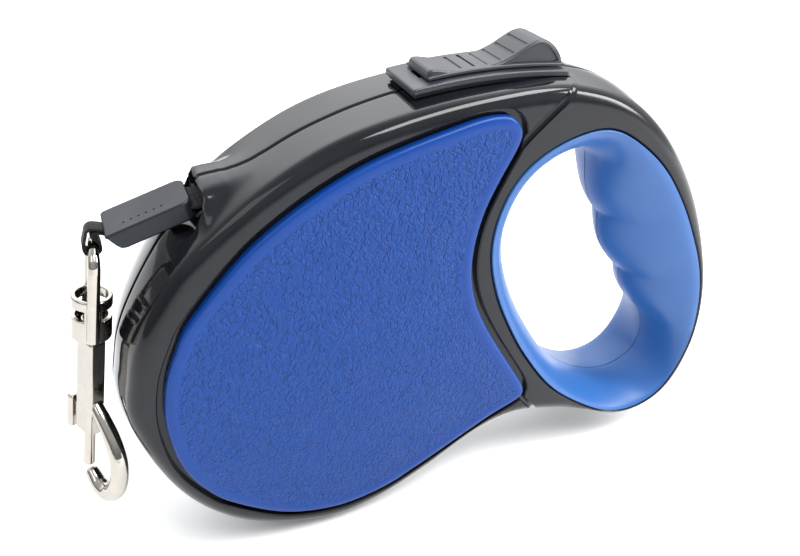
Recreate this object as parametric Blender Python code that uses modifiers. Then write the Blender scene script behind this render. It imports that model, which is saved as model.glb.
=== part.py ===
"""Retractable dog leash: two-part housing with a ring handle, spring reel, brake and trigger snap.

Units: the named dimensions are millimetres and every mesh is written in metres through MM.
Frame: origin at the centre of the hand opening on the parting plane, +X from the nose to the
handle's back, +Z up, Y across the thickness. The left side is -Y.
"""
import math

import bmesh
import bpy
import numpy as np
from mathutils import Matrix, Vector

MM = 0.001
GAP = 0.3                       # running and assembly gap between touching pieces

# Housing, seen from the side (x, z): one smooth closed line through these points.
BODY_OUTLINE = [
    (-116.9, -12.5), (-115.4, 0.0), (-112.0, 9.4), (-104.6, 21.4), (-98.2, 28.6), (-83.3, 39.3),
    (-65.7, 47.4), (-44.0, 51.4), (-20.0, 52.2), (-6.8, 50.4), (5.4, 45.2), (17.0, 34.8),
    (27.2, 20.0), (34.3, 4.4), (38.8, -12.5), (39.8, -25.0), (38.2, -37.6), (33.6, -47.4),
    (25.5, -52.3), (15.0, -52.0), (4.4, -47.4), (-8.2, -43.0), (-20.0, -40.5), (-31.0, -43.0),
    (-46.0, -51.2), (-60.0, -57.2), (-73.0, -59.0), (-88.0, -55.2), (-100.8, -46.9), (-110.6, -33.0)]
PANEL_OUTLINE = [
    (-109.9, -9.5), (-108.7, -1.9), (-100.3, 14.2), (-84.6, 29.5), (-63.5, 41.1), (-39.3, 47.3),
    (-29.5, 47.7), (-26.8, 45.5), (-25.4, 42.1), (-28.6, 36.1), (-33.0, 30.2), (-36.2, 16.8),
    (-35.4, 6.5), (-32.8, -0.8), (-23.9, -19.8), (-18.5, -30.4), (-19.7, -33.3), (-29.5, -37.3),
    (-48.4, -47.1), (-59.6, -51.8), (-72.4, -53.3), (-86.0, -49.7), (-98.8, -40.6), (-107.8, -26.1)]
GRIP_OUTER = [
    (-30.4, 14.7), (-28.8, 24.3), (-24.4, 32.5), (-16.3, 37.9), (-5.1, 40.5), (1.7, 38.7),
    (14.1, 28.9), (22.9, 17.2), (29.1, 5.8), (34.1, -5.8), (36.7, -18.2), (36.4, -31.5),
    (31.2, -44.5), (25.6, -49.0), (17.9, -50.3), (8.8, -47.3), (-7.3, -34.8), (-17.9, -20.1),
    (-24.4, -7.4), (-28.6, 3.9)]
GRIP_WAIST = [
    (-22.6, 12.0), (-21.5, 20.0), (-18.0, 27.5), (-12.0, 31.8), (-5.0, 32.0), (0.0, 29.2),
    (4.0, 20.5), (7.4, 10.4), (12.5, 0.5), (17.6, -8.6), (21.6, -16.5), (25.0, -24.0),
    (28.6, -31.0), (29.0, -37.5), (25.0, -42.8), (17.3, -45.0), (8.0, -41.5), (-2.8, -32.7),
    (-12.0, -18.0), (-18.8, -3.0)]
OUTLINE_COUNT = 64
GRIP_COUNT = 44
GRIP_LEVELS = (GAP / 2, 6.0, 10.5, 13.2, 14.7)
GRIP_CENTRE = (2.0, -6.0)
FINGER_TOP_Z, FINGER_PITCH, FINGER_COUNT, FINGER_HEIGHT = 28.5, 17.6, 3, 1.4

HALF_WIDTH = 15.0               # flat side rim of the housing
RIDGE_RADIUS = 3.0              # rounded edge between the side rim and the rim's outer band
CROWN = 1.6                     # how far the outer band bulges at the parting plane
WALL = 2.2
INNER_HALF_WIDTH = 12.0
POCKET_HALF_WIDTH = 13.5        # floor of the recess behind each side panel
PANEL_CHANNEL = 1.5             # gap all round a side panel
PANEL_HALF_WIDTH = 16.0
LINER_THICKNESS = 1.6
LINER_SEAT_GAP = 0.5
LINER_LIP_REACH = 0.35          # how far the liner's lip laps over the side rim

# Reel
REEL_X, REEL_Z = -69.0, -4.8
AXLE_RADIUS = 2.5
HUB_RADIUS = 18.0
WINDING_RADIUS = 38.2
FLANGE_RADIUS = 40.2
TAPE_WIDTH, TAPE_THICKNESS = 10.0, 0.7
FLANGE_INNER, FLANGE_OUTER = 5.4, 6.8
SPRING_CUP_RADIUS = 28.0
SPRING_CUP_END = 10.9
TOOTH_COUNT = 20
TOOTH_DEPTH = 3.2

# Tape run, nose and stopper block
TAPE_Z = REEL_Z + WINDING_RADIUS + GAP + TAPE_THICKNESS / 2
TAPE_TAIL_X = -45.0
MOUTH_X = -94.2
BLOCK_REAR_X, BLOCK_REAR_Z = -95.5, 34.3
BLOCK_LENGTH, BLOCK_WIDTH, BLOCK_HEIGHT = 18.3, 11.8, 4.4
BLOCK_PITCH = 15.5

# Trigger snap: its own frame has its origin on the eye's bar and its z up the swivel axis.
SNAP_ORIGIN = (-116.2, 0.0, 27.6)
SNAP_LEAN = 11.8                # the snap leans out at the bottom, against the nose
EYE_TURN = 90.0                 # direction of the eye's bar about the swivel axis, from +X
HOOK_TURN = -60.0               # direction of the hook's arm about the swivel axis, from +X
EYE_WIRE, EYE_REACH, EYE_CORNER = 1.25, 4.6, 2.6
COLLAR_RADIUS, COLLAR_LOW, COLLAR_HIGH = 4.6, -23.9, -9.8
SHANK_LOW, SHANK_HIGH = -48.8, -24.3
BOLT_RADIUS, BOLT_LOW, BOLT_HIGH = 1.4, -58.7, -38.0
HOOK_ARM = [(1.2, -40.0), (4.6, -42.6), (8.2, -46.2), (11.0, -51.0), (11.5, -56.0), (10.2, -60.6),
            (7.4, -63.2), (4.0, -62.8), (1.2, -60.9)]

# Brake
TRACK_X, TRACK_TOP_Z, TRACK_RADIUS = -31.0, 54.7, 143.0
BEZEL_FRONT_X, BEZEL_REAR_X, BEZEL_HALF_WIDTH, BEZEL_THICKNESS = -49.3, -10.4, 8.2, 2.2
PAWL_X, PAWL_Z = -31.5, 16.8
PAWL_TOOTH_ANGLE = 47.0
STEM_X, STEM_LOW_Z = -38.0, 45.4
FORK_LOW_Z, FORK_TOP_Z = 44.4, 49.0
SLOT_SIZE = (8.8, 5.0, 14.0)    # slot for the button's stem through the bezel and the housing

SCREWS = [(-113.2, -14.0), (-69.0, -51.0), (-62.0, 42.2), (4.0, 41.6), (-14.5, -35.5)]


# ---------------------------------------------------------------- scene and materials
def clear_scene():
    for item in list(bpy.data.objects):
        bpy.data.objects.remove(item, do_unlink=True)


def new_collection(name):
    collection = bpy.data.collections.new(name)
    bpy.context.scene.collection.children.link(collection)
    return collection


def material(name, colour, roughness, metallic=0.0):
    made = bpy.data.materials.new(name)
    made.use_nodes = True
    shader = made.node_tree.nodes["Principled BSDF"]
    shader.inputs["Base Color"].default_value = (*colour, 1.0)
    shader.inputs["Roughness"].default_value = roughness
    shader.inputs["Metallic"].default_value = metallic
    made.diffuse_color = (*colour, 1.0)
    return made


clear_scene()
PARTS = new_collection("retractable_leash")
CUTTERS = new_collection("cutters")
GLOSS_BLACK = material("gloss_black", (0.012, 0.012, 0.014), 0.12)
ROYAL_BLUE = material("royal_blue", (0.030, 0.120, 0.520), 0.42)
SOFT_BLUE = material("soft_blue", (0.050, 0.160, 0.560), 0.50)
DARK_GREY = material("dark_grey", (0.060, 0.066, 0.075), 0.50)
INNER_GREY = material("inner_grey", (0.300, 0.310, 0.320), 0.55)
WEBBING = material("webbing", (0.010, 0.010, 0.012), 0.85)
NICKEL = material("nickel", (0.720, 0.700, 0.660), 0.18, 1.0)
STEEL = material("steel", (0.550, 0.560, 0.570), 0.32, 1.0)


# ---------------------------------------------------------------- outlines
def smooth_loop(points, count):
    """Closed Catmull-Rom line through points, resampled to evenly spaced points."""
    knots = np.array(points, dtype=float)
    steps = np.linspace(0.0, 1.0, 12, endpoint=False)[:, None]
    pieces = []
    for index in range(len(knots)):
        p0, p1, p2, p3 = (knots[(index + shift) % len(knots)] for shift in (-1, 0, 1, 2))
        pieces.append(p1 + 0.5 * steps * (p2 - p0)
                      + steps ** 2 * (p0 - 2.5 * p1 + 2.0 * p2 - 0.5 * p3)
                      + steps ** 3 * (-0.5 * p0 + 1.5 * p1 - 1.5 * p2 + 0.5 * p3))
    dense = np.vstack(pieces + [knots[:1]])
    run = np.concatenate([[0.0], np.cumsum(np.linalg.norm(np.diff(dense, axis=0), axis=1))])
    wanted = np.linspace(0.0, run[-1], count, endpoint=False)
    return np.column_stack([np.interp(wanted, run, dense[:, axis]) for axis in (0, 1)])


def signed_area(loop):
    following = np.roll(loop, -1, axis=0)
    return 0.5 * np.sum(loop[:, 0] * following[:, 1] - following[:, 0] * loop[:, 1])


def offset_loop(loop, distance):
    """Move every point outwards by distance, one value or one for each point."""
    along = np.roll(loop, -1, axis=0) - np.roll(loop, 1, axis=0)
    along /= np.linalg.norm(along, axis=1)[:, None]
    outward = np.column_stack([along[:, 1], -along[:, 0]]) * np.sign(signed_area(loop))
    return loop + outward * np.broadcast_to(distance, len(loop))[:, None]


def polar_loop(points, count, centre):
    """Sample a star-shaped smooth loop at equal angles about centre."""
    dense = smooth_loop(points, 480) - np.array(centre)
    angles = np.arctan2(dense[:, 1], dense[:, 0])
    order = np.argsort(angles)
    radii = np.hypot(dense[:, 0], dense[:, 1])[order]
    wanted = np.linspace(-math.pi, math.pi, count, endpoint=False)
    radius = np.interp(wanted, angles[order], radii, period=2 * math.pi)
    return np.column_stack([np.cos(wanted), np.sin(wanted)]) * radius[:, None] + np.array(centre)


def finger_bumps(loop):
    """Rounded rises between the fingers on the back wall of the waist, as a shift towards -X."""
    depth = (FINGER_TOP_Z - loop[:, 1]) / FINGER_PITCH
    on_wall = (loop[:, 0] > GRIP_CENTRE[0]) & (depth > 0.0) & (depth < FINGER_COUNT)
    return np.where(on_wall, FINGER_HEIGHT * np.abs(np.sin(math.pi * depth)), 0.0)


GRIP_OUTER_LOOP = polar_loop(GRIP_OUTER, GRIP_COUNT, GRIP_CENTRE)
GRIP_WAIST_LOOP = polar_loop(GRIP_WAIST, GRIP_COUNT, GRIP_CENTRE)
GRIP_DEPTH = np.linalg.norm(GRIP_OUTER_LOOP - GRIP_WAIST_LOOP, axis=1)


def grip_ring(y, side, behind=0.0, bumps=True):
    """Ring of the quarter-ellipse funnel of the hand opening at y, or of the surface behind it."""
    share = y / HALF_WIDTH
    root = math.sqrt(1.0 - share * share)
    loop = GRIP_WAIST_LOOP * root + GRIP_OUTER_LOOP * (1.0 - root)
    if bumps:
        fade = max(0.0, 1.0 - 1.3 * share)
        loop = loop - np.column_stack([finger_bumps(loop) * fade, np.zeros(len(loop))])
    slope = GRIP_DEPTH / HALF_WIDTH * share / root
    cosine = 1.0 / np.sqrt(1.0 + slope * slope)
    loop = offset_loop(loop, behind * cosine)
    return np.column_stack([loop[:, 0], side * (y - behind * slope * cosine), loop[:, 1]])


def lip_ring(y, side, outward):
    """Ring beside the outer edge of the hand opening's funnel."""
    return in_plane(offset_loop(GRIP_OUTER_LOOP, outward), side * y)


def in_plane(loop, y):
    """Put an (x, z) loop at a given y."""
    return np.column_stack([loop[:, 0], np.full(len(loop), y), loop[:, 1]])


# ---------------------------------------------------------------- mesh helpers
def new_object(name, mesh, look, collection=None):
    made = bpy.data.objects.new(name, mesh)
    (collection or PARTS).objects.link(made)
    if look:
        mesh.materials.append(look)
    return made


def as_cutter(item):
    for collection in list(item.users_collection):
        collection.objects.unlink(item)
    CUTTERS.objects.link(item)
    item.hide_render = True
    item.display_type = "WIRE"
    return item


def bake(name, mesh_builder, look, sharp=35.0):
    mesh = bpy.data.meshes.new(name)
    bmesh.ops.recalc_face_normals(mesh_builder, faces=mesh_builder.faces)
    mesh_builder.to_mesh(mesh)
    mesh_builder.free()
    mesh.shade_smooth()
    mesh.set_sharp_from_angle(angle=math.radians(sharp))
    return new_object(name, mesh, look)


def loft(name, rings, look, closed=False):
    """Skin equal-length rings (mm); ends are capped, or joined to each other when closed."""
    builder = bmesh.new()
    rows = [[builder.verts.new(Vector(point) * MM) for point in ring] for ring in rings]
    pairs = list(zip(rows, rows[1:]))
    if closed:
        pairs.append((rows[-1], rows[0]))
    else:
        builder.faces.new(rows[0])
        builder.faces.new(rows[-1])
    for lower, upper in pairs:
        for index in range(len(lower)):
            after = (index + 1) % len(lower)
            builder.faces.new((lower[index], lower[after], upper[after], upper[index]))
    return bake(name, builder, look)


def plate(name, loop, y_low, y_high, look, edge=0.0):
    """Flat piece from an (x, z) loop; edge is a chamfer on the y_high side, away from y_low."""
    rings = [in_plane(loop, y_low)]
    if edge:
        inward = math.copysign(edge, y_low - y_high)
        rings.append(in_plane(loop, y_high + inward))
        rings.append(in_plane(offset_loop(loop, -edge), y_high))
    else:
        rings.append(in_plane(loop, y_high))
    return loft(name, rings, look)


def box(name, centre, size, look=None, rotation=None):
    builder = bmesh.new()
    bmesh.ops.create_cube(builder, size=1.0)
    turn = rotation.to_4x4() if rotation else Matrix.Identity(4)
    place = Matrix.Translation(Vector(centre) * MM) @ turn
    scale = Matrix.Diagonal((*(value * MM for value in size), 1.0))
    bmesh.ops.transform(builder, matrix=place @ scale, verts=builder.verts)
    return bake(name, builder, look)


def rod(name, start, end, radius, look=None, segments=24, end_radius=None):
    """Cylinder or cone from start to end."""
    first, last = Vector(start), Vector(end)
    builder = bmesh.new()
    bmesh.ops.create_cone(builder, cap_ends=True, segments=segments, radius1=radius * MM,
                          radius2=(end_radius or radius) * MM, depth=(last - first).length * MM)
    turn = Vector((0, 0, 1)).rotation_difference(last - first).to_matrix().to_4x4()
    place = Matrix.Translation((first + last) / 2 * MM) @ turn
    bmesh.ops.transform(builder, matrix=place, verts=builder.verts)
    return bake(name, builder, look)


def turned(name, profile, look, origin, segments=36):
    """Spin a closed (radius, y) profile about the Y line through origin (x, z)."""
    points = [Vector((radius * MM, 0.0, along * MM)) for radius, along in profile]
    mesh = bpy.data.meshes.new(name)
    edges = [(index, (index + 1) % len(points)) for index in range(len(points))]
    mesh.from_pydata(points, edges, [])
    made = new_object(name, mesh, look)
    screw = made.modifiers.new("turn", "SCREW")
    screw.steps = segments
    screw.render_steps = segments
    screw.use_merge_vertices = True
    screw.merge_threshold = 0.00001
    made.rotation_euler = (-math.pi / 2, 0.0, 0.0)
    made.location = (origin[0] * MM, 0.0, origin[1] * MM)
    return made


def tube(name, points, radius, look, sides=2):
    """Round wire through points, turned into a closed mesh."""
    curve = bpy.data.curves.new(name, "CURVE")
    curve.dimensions = "3D"
    curve.bevel_depth = radius * MM
    curve.bevel_resolution = sides
    curve.use_fill_caps = True
    spline = curve.splines.new("POLY")
    spline.points.add(len(points) - 1)
    for target, point in zip(spline.points, points):
        target.co = (*(value * MM for value in point), 1.0)
    guide = bpy.data.objects.new(name + "_curve", curve)
    PARTS.objects.link(guide)
    depsgraph = bpy.context.evaluated_depsgraph_get()
    mesh = bpy.data.meshes.new_from_object(guide.evaluated_get(depsgraph))
    bpy.data.objects.remove(guide, do_unlink=True)
    builder = bmesh.new()
    builder.from_mesh(mesh)
    bmesh.ops.remove_doubles(builder, verts=builder.verts, dist=0.00001)
    bpy.data.meshes.remove(mesh)
    return bake(name, builder, look)


def smooth_path(points, per_span=5):
    """Open Catmull-Rom line through points in two dimensions."""
    knots = np.array(points, dtype=float)
    knots = np.vstack([2 * knots[0] - knots[1], knots, 2 * knots[-1] - knots[-2]])
    path = []
    for index in range(1, len(knots) - 2):
        p0, p1, p2, p3 = knots[index - 1:index + 3]
        for step in np.linspace(0.0, 1.0, per_span, endpoint=False):
            path.append(p1 + 0.5 * step * (p2 - p0)
                        + step ** 2 * (p0 - 2.5 * p1 + 2.0 * p2 - 0.5 * p3)
                        + step ** 3 * (-0.5 * p0 + 1.5 * p1 - 1.5 * p2 + 0.5 * p3))
    path.append(knots[-2])
    return path


def combine(item, other, operation):
    modifier = item.modifiers.new(operation.lower() + "_" + other.name, "BOOLEAN")
    modifier.operation = operation
    modifier.solver = "EXACT"
    modifier.object = as_cutter(other)
    return item


def cut(item, *others):
    for other in others:
        combine(item, other, "DIFFERENCE")
    return item


def join(item, *others):
    for other in others:
        combine(item, other, "UNION")
    return item


def move_origin(item, point):
    """Put the object's origin at point (mm) without moving its shape."""
    shift = Vector(point) * MM
    item.data.transform(item.matrix_basis)
    item.data.transform(Matrix.Translation(-shift))
    item.matrix_basis = Matrix.Translation(shift)


# ---------------------------------------------------------------- housing
def body_levels():
    """(distance from the parting plane, inset of the outline) from the middle to the side."""
    levels = [(y, -CROWN * (1.0 - (y / 12.0) ** 2)) for y in (GAP / 2, 7.0, 12.0)]
    for degrees in (45.0, 90.0):
        turn = math.radians(degrees)
        reach = HALF_WIDTH - RIDGE_RADIUS + RIDGE_RADIUS * math.sin(turn)
        levels.append((reach, RIDGE_RADIUS * (1.0 - math.cos(turn))))
    return levels


def ridge_share(loop):
    """Share of the ridge radius that fits beside the grip's lip, for each outline point."""
    gaps = np.linalg.norm(loop[:, None, :] - GRIP_OUTER_LOOP[None, :, :], axis=2).min(axis=1)
    return np.clip((gaps - 0.8) / RIDGE_RADIUS, 0.1, 1.0)


def snout(name, side):
    """Half of the flared nose that the tape leaves by."""
    stations = [(-74.0, 5.0, 43.2), (-82.0, 6.0, 40.8), (-87.0, 6.8, 39.4), (-91.0, 7.8, 38.9),
                (MOUTH_X, 9.4, 39.7)]
    rings = []
    for x, half, top in stations:
        low = 27.0
        shoulder = 0.45 * half
        rings.append([(x, side * GAP / 2, low), (x, side * half, low), (x, side * half, top - shoulder),
                      (x, side * (half - 0.3 * shoulder), top - 0.3 * shoulder),
                      (x, side * (half - shoulder), top), (x, side * GAP / 2, top)])
    return loft(name, rings, None)


def cavity(name, side):
    """Room for the reel and the brake, with the wall round the hand opening left standing."""
    outer = smooth_loop(BODY_OUTLINE, OUTLINE_COUNT)
    room = plate(name, offset_loop(outer, -WALL), side * -0.5, side * INNER_HALF_WIDTH, None)
    behind = LINER_THICKNESS + LINER_SEAT_GAP + 1.8
    rings = [grip_ring(y, side, behind, False) for y in GRIP_LEVELS]
    first = rings[0].copy()
    first[:, 1] = side * -1.0
    reach = LINER_LIP_REACH + GAP + 1.6
    edge = [lip_ring(11.2, side, reach), lip_ring(14.0, side, reach)]
    return cut(room, loft(name + "_grip_wall", [first] + rings[1:] + edge, None))


def hand_opening(name, side):
    """Seat of the grip liner, cut through the shell."""
    behind = LINER_THICKNESS + LINER_SEAT_GAP
    rings = [grip_ring(y, side, behind, False) for y in GRIP_LEVELS]
    first = rings[0].copy()
    first[:, 1] = side * -1.0
    reach = LINER_LIP_REACH + GAP
    edge = [lip_ring(13.0, side, reach), lip_ring(18.0, side, reach)]
    return loft(name, [first] + rings[1:] + edge, None)


def boss(name, x, z, radius, y_inner, side):
    return rod(name, (x, side * y_inner, z), (x, side * (INNER_HALF_WIDTH + 0.6), z), radius, segments=16)


def screw_hole(name, x, z, side):
    """Clearance bore and head recess on the right, pilot bore on the left."""
    if side < 0:
        return [rod(name + "_pilot", (x, 1, z), (x, -9.4, z), 1.5, segments=12)]
    return [rod(name + "_shaft", (x, -1, z), (x, 20, z), 1.5, segments=12),
            rod(name + "_head", (x, 11.2, z), (x, 20, z), 2.5, segments=12)]


def shell(name, side):
    """One moulded half of the housing: reel case, nose and handle ring in one piece."""
    outline = smooth_loop(BODY_OUTLINE, OUTLINE_COUNT)
    share = ridge_share(outline)
    rings = []
    for y, inset in body_levels():
        inset_here = np.where(inset > 0, inset * share, inset)
        rings.append(in_plane(offset_loop(outline, -inset_here), side * y))
    half = loft(name, rings, GLOSS_BLACK)
    join(half, snout(name + "_snout", side))
    cut(half, cavity(name + "_cavity", side))
    for index, (x, z) in enumerate(SCREWS):
        join(half, boss(f"{name}_boss_{index}", x, z, 2.9, GAP / 2, side))
    join(half, boss(name + "_axle_boss", REEL_X, REEL_Z, 5.2, 7.8 if side < 0 else 11.8, side))
    join(half, boss(name + "_pawl_boss", PAWL_X, PAWL_Z, 2.8, 8.2, side))
    cut(half, hand_opening(name + "_opening", side))
    panel = smooth_loop(PANEL_OUTLINE, OUTLINE_COUNT)
    cut(half, plate(name + "_pocket", offset_loop(panel, PANEL_CHANNEL), side * POCKET_HALF_WIDTH,
                    side * 20.0, None))
    cut(half, rod(name + "_axle_bore", (REEL_X, 0, REEL_Z), (REEL_X, side * 12.6, REEL_Z),
                  AXLE_RADIUS + 0.1))
    cut(half, rod(name + "_pawl_bore", (PAWL_X, 0, PAWL_Z), (PAWL_X, side * 12.6, PAWL_Z), 1.6,
                  segments=16))
    cut(half, box(name + "_nozzle", (-94.15, 0, TAPE_Z), (11.7, 13.8, 7.2)))
    cut(half, box(name + "_mouth", (-97.0, 0, 33.4), (8.0, 15.2, 9.8)))
    cut(half, box(name + "_tape_path", (-84.0, 0, TAPE_Z), (16.0, 12.0, 3.4)))
    cut(half, box(name + "_stem_slot", (STEM_X - 2.1, 0, 52.0), SLOT_SIZE))
    cut(half, bezel_strip(name + "_bezel_seat", GAP, 20.0))
    for index, (x, z) in enumerate(SCREWS):
        cut(half, *screw_hole(f"{name}_screw_{index}", x, z, side))
    return half


def side_panel(name, side):
    panel = smooth_loop(PANEL_OUTLINE, OUTLINE_COUNT)
    return plate(name, panel, side * (POCKET_HALF_WIDTH + GAP), side * PANEL_HALF_WIDTH, ROYAL_BLUE,
                 edge=1.2)


def grip_liner(name, side):
    """Soft lining of the hand opening: front face from the waist to the lip, then the back face."""
    front = [grip_ring(y, side) for y in GRIP_LEVELS]
    lip = [lip_ring(HALF_WIDTH + 0.25, side, -0.5), lip_ring(HALF_WIDTH + 0.05, side, LINER_LIP_REACH),
           lip_ring(HALF_WIDTH - 1.7, side, LINER_LIP_REACH)]
    back = [grip_ring(y, side, LINER_THICKNESS, False) for y in reversed(GRIP_LEVELS)]
    return loft(name, front + lip + back, SOFT_BLUE, closed=True)


def housing_screw(name, x, z):
    """Pan-head screw driven from the right side."""
    profile = [(0.0, 13.2), (1.6, 13.2), (2.2, 12.6), (2.2, 11.5), (1.2, 11.4), (1.2, -8.4),
               (0.6, -9.0), (0.0, -9.0)]
    screw = turned(name, profile, STEEL, (x, z), segments=12)
    slot = box(name + "_drive", (x, 13.0, z), (3.0, 1.0, 0.6))
    return cut(screw, slot)


# ---------------------------------------------------------------- reel
def reel_drum():
    """Hub, right flange and the cup for the power spring, moulded in one."""
    bore = AXLE_RADIUS + 0.15
    profile = [(FLANGE_RADIUS, FLANGE_OUTER), (FLANGE_RADIUS, FLANGE_INNER), (HUB_RADIUS, FLANGE_INNER),
               (HUB_RADIUS, -FLANGE_INNER + GAP), (HUB_RADIUS - 2.0, -FLANGE_INNER + GAP),
               (HUB_RADIUS - 2.0, 4.4), (5.0, 4.4), (5.0, -7.2), (bore, -7.2), (bore, 6.8),
               (SPRING_CUP_RADIUS - 1.4, 6.8), (SPRING_CUP_RADIUS - 1.4, SPRING_CUP_END),
               (SPRING_CUP_RADIUS, SPRING_CUP_END), (SPRING_CUP_RADIUS, 6.8)]
    return turned("reel_drum", profile, INNER_GREY, (REEL_X, REEL_Z))


def ratchet_flange():
    """Left flange, with square stops round its rim for the brake pawl."""
    loop = []
    pitch = 2 * math.pi / TOOTH_COUNT
    start = math.radians(PAWL_TOOTH_ANGLE)
    for index in range(TOOTH_COUNT):
        for share, depth in ((-0.25, TOOTH_DEPTH), (0.25, TOOTH_DEPTH), (0.27, 0.0), (0.5, 0.0),
                             (0.73, 0.0)):
            angle = start + (index + share) * pitch
            radius = FLANGE_RADIUS - depth
            loop.append((REEL_X + radius * math.cos(angle), REEL_Z + radius * math.sin(angle)))
    flange = plate("ratchet_flange", np.array(loop), -FLANGE_OUTER, -FLANGE_INNER, INNER_GREY)
    cut(flange, rod("ratchet_bore", (REEL_X, -9, REEL_Z), (REEL_X, 0, REEL_Z), 5.3, segments=24))
    move_origin(flange, (REEL_X, 0, REEL_Z))
    return flange


def wound_tape():
    profile = [(WINDING_RADIUS, TAPE_WIDTH / 2), (WINDING_RADIUS, -TAPE_WIDTH / 2),
               (HUB_RADIUS + GAP, -TAPE_WIDTH / 2), (HUB_RADIUS + GAP, TAPE_WIDTH / 2)]
    return turned("wound_tape", profile, WEBBING, (REEL_X, REEL_Z))


def spring_cover():
    profile = [(SPRING_CUP_RADIUS, 11.8), (SPRING_CUP_RADIUS, 11.2), (6.3, 11.2), (6.3, 11.8)]
    return turned("spring_cover", profile, STEEL, (REEL_X, REEL_Z))


def power_spring():
    """Flat spiral strip, wound from the arbor out to the cup's wall."""
    turns, per_turn = 6, 16
    inner, outer, half_thickness = 7.0, SPRING_CUP_RADIUS - 2.4, 0.25
    rings = []
    for step in range(turns * per_turn + 1):
        share = step / (turns * per_turn)
        angle = 2 * math.pi * step / per_turn
        radius = inner + (outer - inner) * share
        ring = []
        for across, along in ((-1, 7.2), (1, 7.2), (1, 10.6), (-1, 10.6)):
            reach = radius + across * half_thickness
            ring.append((REEL_X + reach * math.cos(angle), along, REEL_Z + reach * math.sin(angle)))
        rings.append(ring)
    spring = loft("power_spring", rings, STEEL)
    move_origin(spring, (REEL_X, 0, REEL_Z))
    return spring


def spring_arbor():
    profile = [(5.8, 11.4), (5.8, 7.2), (AXLE_RADIUS + 0.15, 7.2), (AXLE_RADIUS + 0.15, 11.4)]
    return turned("spring_arbor", profile, STEEL, (REEL_X, REEL_Z), segments=24)


# ---------------------------------------------------------------- tape end
def block_rotation():
    return Matrix.Rotation(math.radians(-BLOCK_PITCH), 3, "Y")


def block_point(local):
    """World point (mm) of a point in the block's frame; its origin is the rear face's centre."""
    return block_rotation() @ Vector(local) + Vector((BLOCK_REAR_X, 0.0, BLOCK_REAR_Z))


def tape_guide():
    """Slotted insert in the nose."""
    insert = box("tape_guide", (-90.6, 0, TAPE_Z), (4.0, 13.2, 6.6), DARK_GREY)
    return cut(insert, box("tape_guide_slot", (-90.6, 0, TAPE_Z), (12.0, 11.2, 2.2)))


def tape_run():
    front = BLOCK_REAR_X - 3.6
    centre = ((TAPE_TAIL_X + front) / 2, 0, TAPE_Z)
    return box("tape_run", centre, (TAPE_TAIL_X - front, TAPE_WIDTH, TAPE_THICKNESS), WEBBING)


def block_plan():
    """Outline of the block seen from above, from its square front end to its rounded rear."""
    half, corner = BLOCK_WIDTH / 2, 2.8
    plan = [(-BLOCK_LENGTH, -half + 0.7), (-BLOCK_LENGTH + 0.7, -half)]
    for sign in (-1, 1):
        for degrees in (90.0, 60.0, 30.0, 0.0)[::-sign]:
            turn = math.radians(degrees)
            plan.append((-corner + corner * math.cos(turn),
                         sign * (half - corner + corner * math.sin(turn))))
    return plan + [(-BLOCK_LENGTH + 0.7, half), (-BLOCK_LENGTH, half - 0.7)]


def stopper_block():
    """Rounded block that stops the tape at the nose; its lower front edge slopes away."""
    half, rise = BLOCK_WIDTH / 2, BLOCK_HEIGHT / 2
    rings = []
    for z, inset, front in ((-rise, 0.5, 2.0), (-rise + 0.5, 0.0, 1.6), (rise - 0.5, 0.0, 0.0),
                            (rise, 0.5, 0.0)):
        ring = []
        for x, y in block_plan():
            x_here = x * (1.0 - inset / BLOCK_LENGTH) - inset * 0.5
            if x < -BLOCK_LENGTH + 1.0:
                x_here += front + inset * 0.5
            ring.append(block_point((x_here, y * (1.0 - inset / half), z)))
        rings.append(ring)
    block = loft("stopper_block", rings, DARK_GREY)
    pocket = box("block_pocket", (BLOCK_REAR_X, 0, TAPE_Z), (8.4, TAPE_WIDTH + 0.6, TAPE_THICKNESS + 0.8))
    mouth = box("block_mouth", block_point((-BLOCK_LENGTH, 0, 0)), (8.4, 6.0, 2.8),
                rotation=block_rotation())
    return cut(block, pocket, mouth)


def tape_loop():
    """Webbing that leaves the block's front and wraps the bar of the snap's eye."""
    x, y, z = SNAP_ORIGIN
    ring = rod("tape_loop", (x, y - 2.4, z), (x, y + 2.4, z), 2.2, WEBBING, segments=20)
    rise = box("tape_loop_rise", (x, y, z + 2.4), (3.4, 4.8, 4.4))
    tab = box("tape_loop_tab", block_point((-BLOCK_LENGTH + 0.9, y, 0)), (5.6, 4.8, 2.0),
              rotation=block_rotation())
    join(ring, rise, tab)
    return cut(ring, rod("tape_loop_hole", (x, y - 5, z), (x, y + 5, z), EYE_WIRE + GAP, segments=16))


# ---------------------------------------------------------------- trigger snap
def snap_rotation(turn):
    lean = Matrix.Rotation(math.radians(SNAP_LEAN), 3, "Y")
    return lean @ Matrix.Rotation(math.radians(turn), 3, "Z")


def snap_point(across, height, turn=0.0):
    """World point (mm) from a distance across the swivel axis and a height along it."""
    return snap_rotation(turn) @ Vector((across, 0.0, height)) + Vector(SNAP_ORIGIN)


def snap_rod(name, low, high, radius, look=None, end_radius=None, segments=24):
    return rod(name, snap_point(0, low), snap_point(0, high), radius, look, segments, end_radius)


def snap_box(name, across, height, size, look=None, turn=HOOK_TURN):
    return box(name, snap_point(across, height, turn), size, look, snap_rotation(turn))


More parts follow.
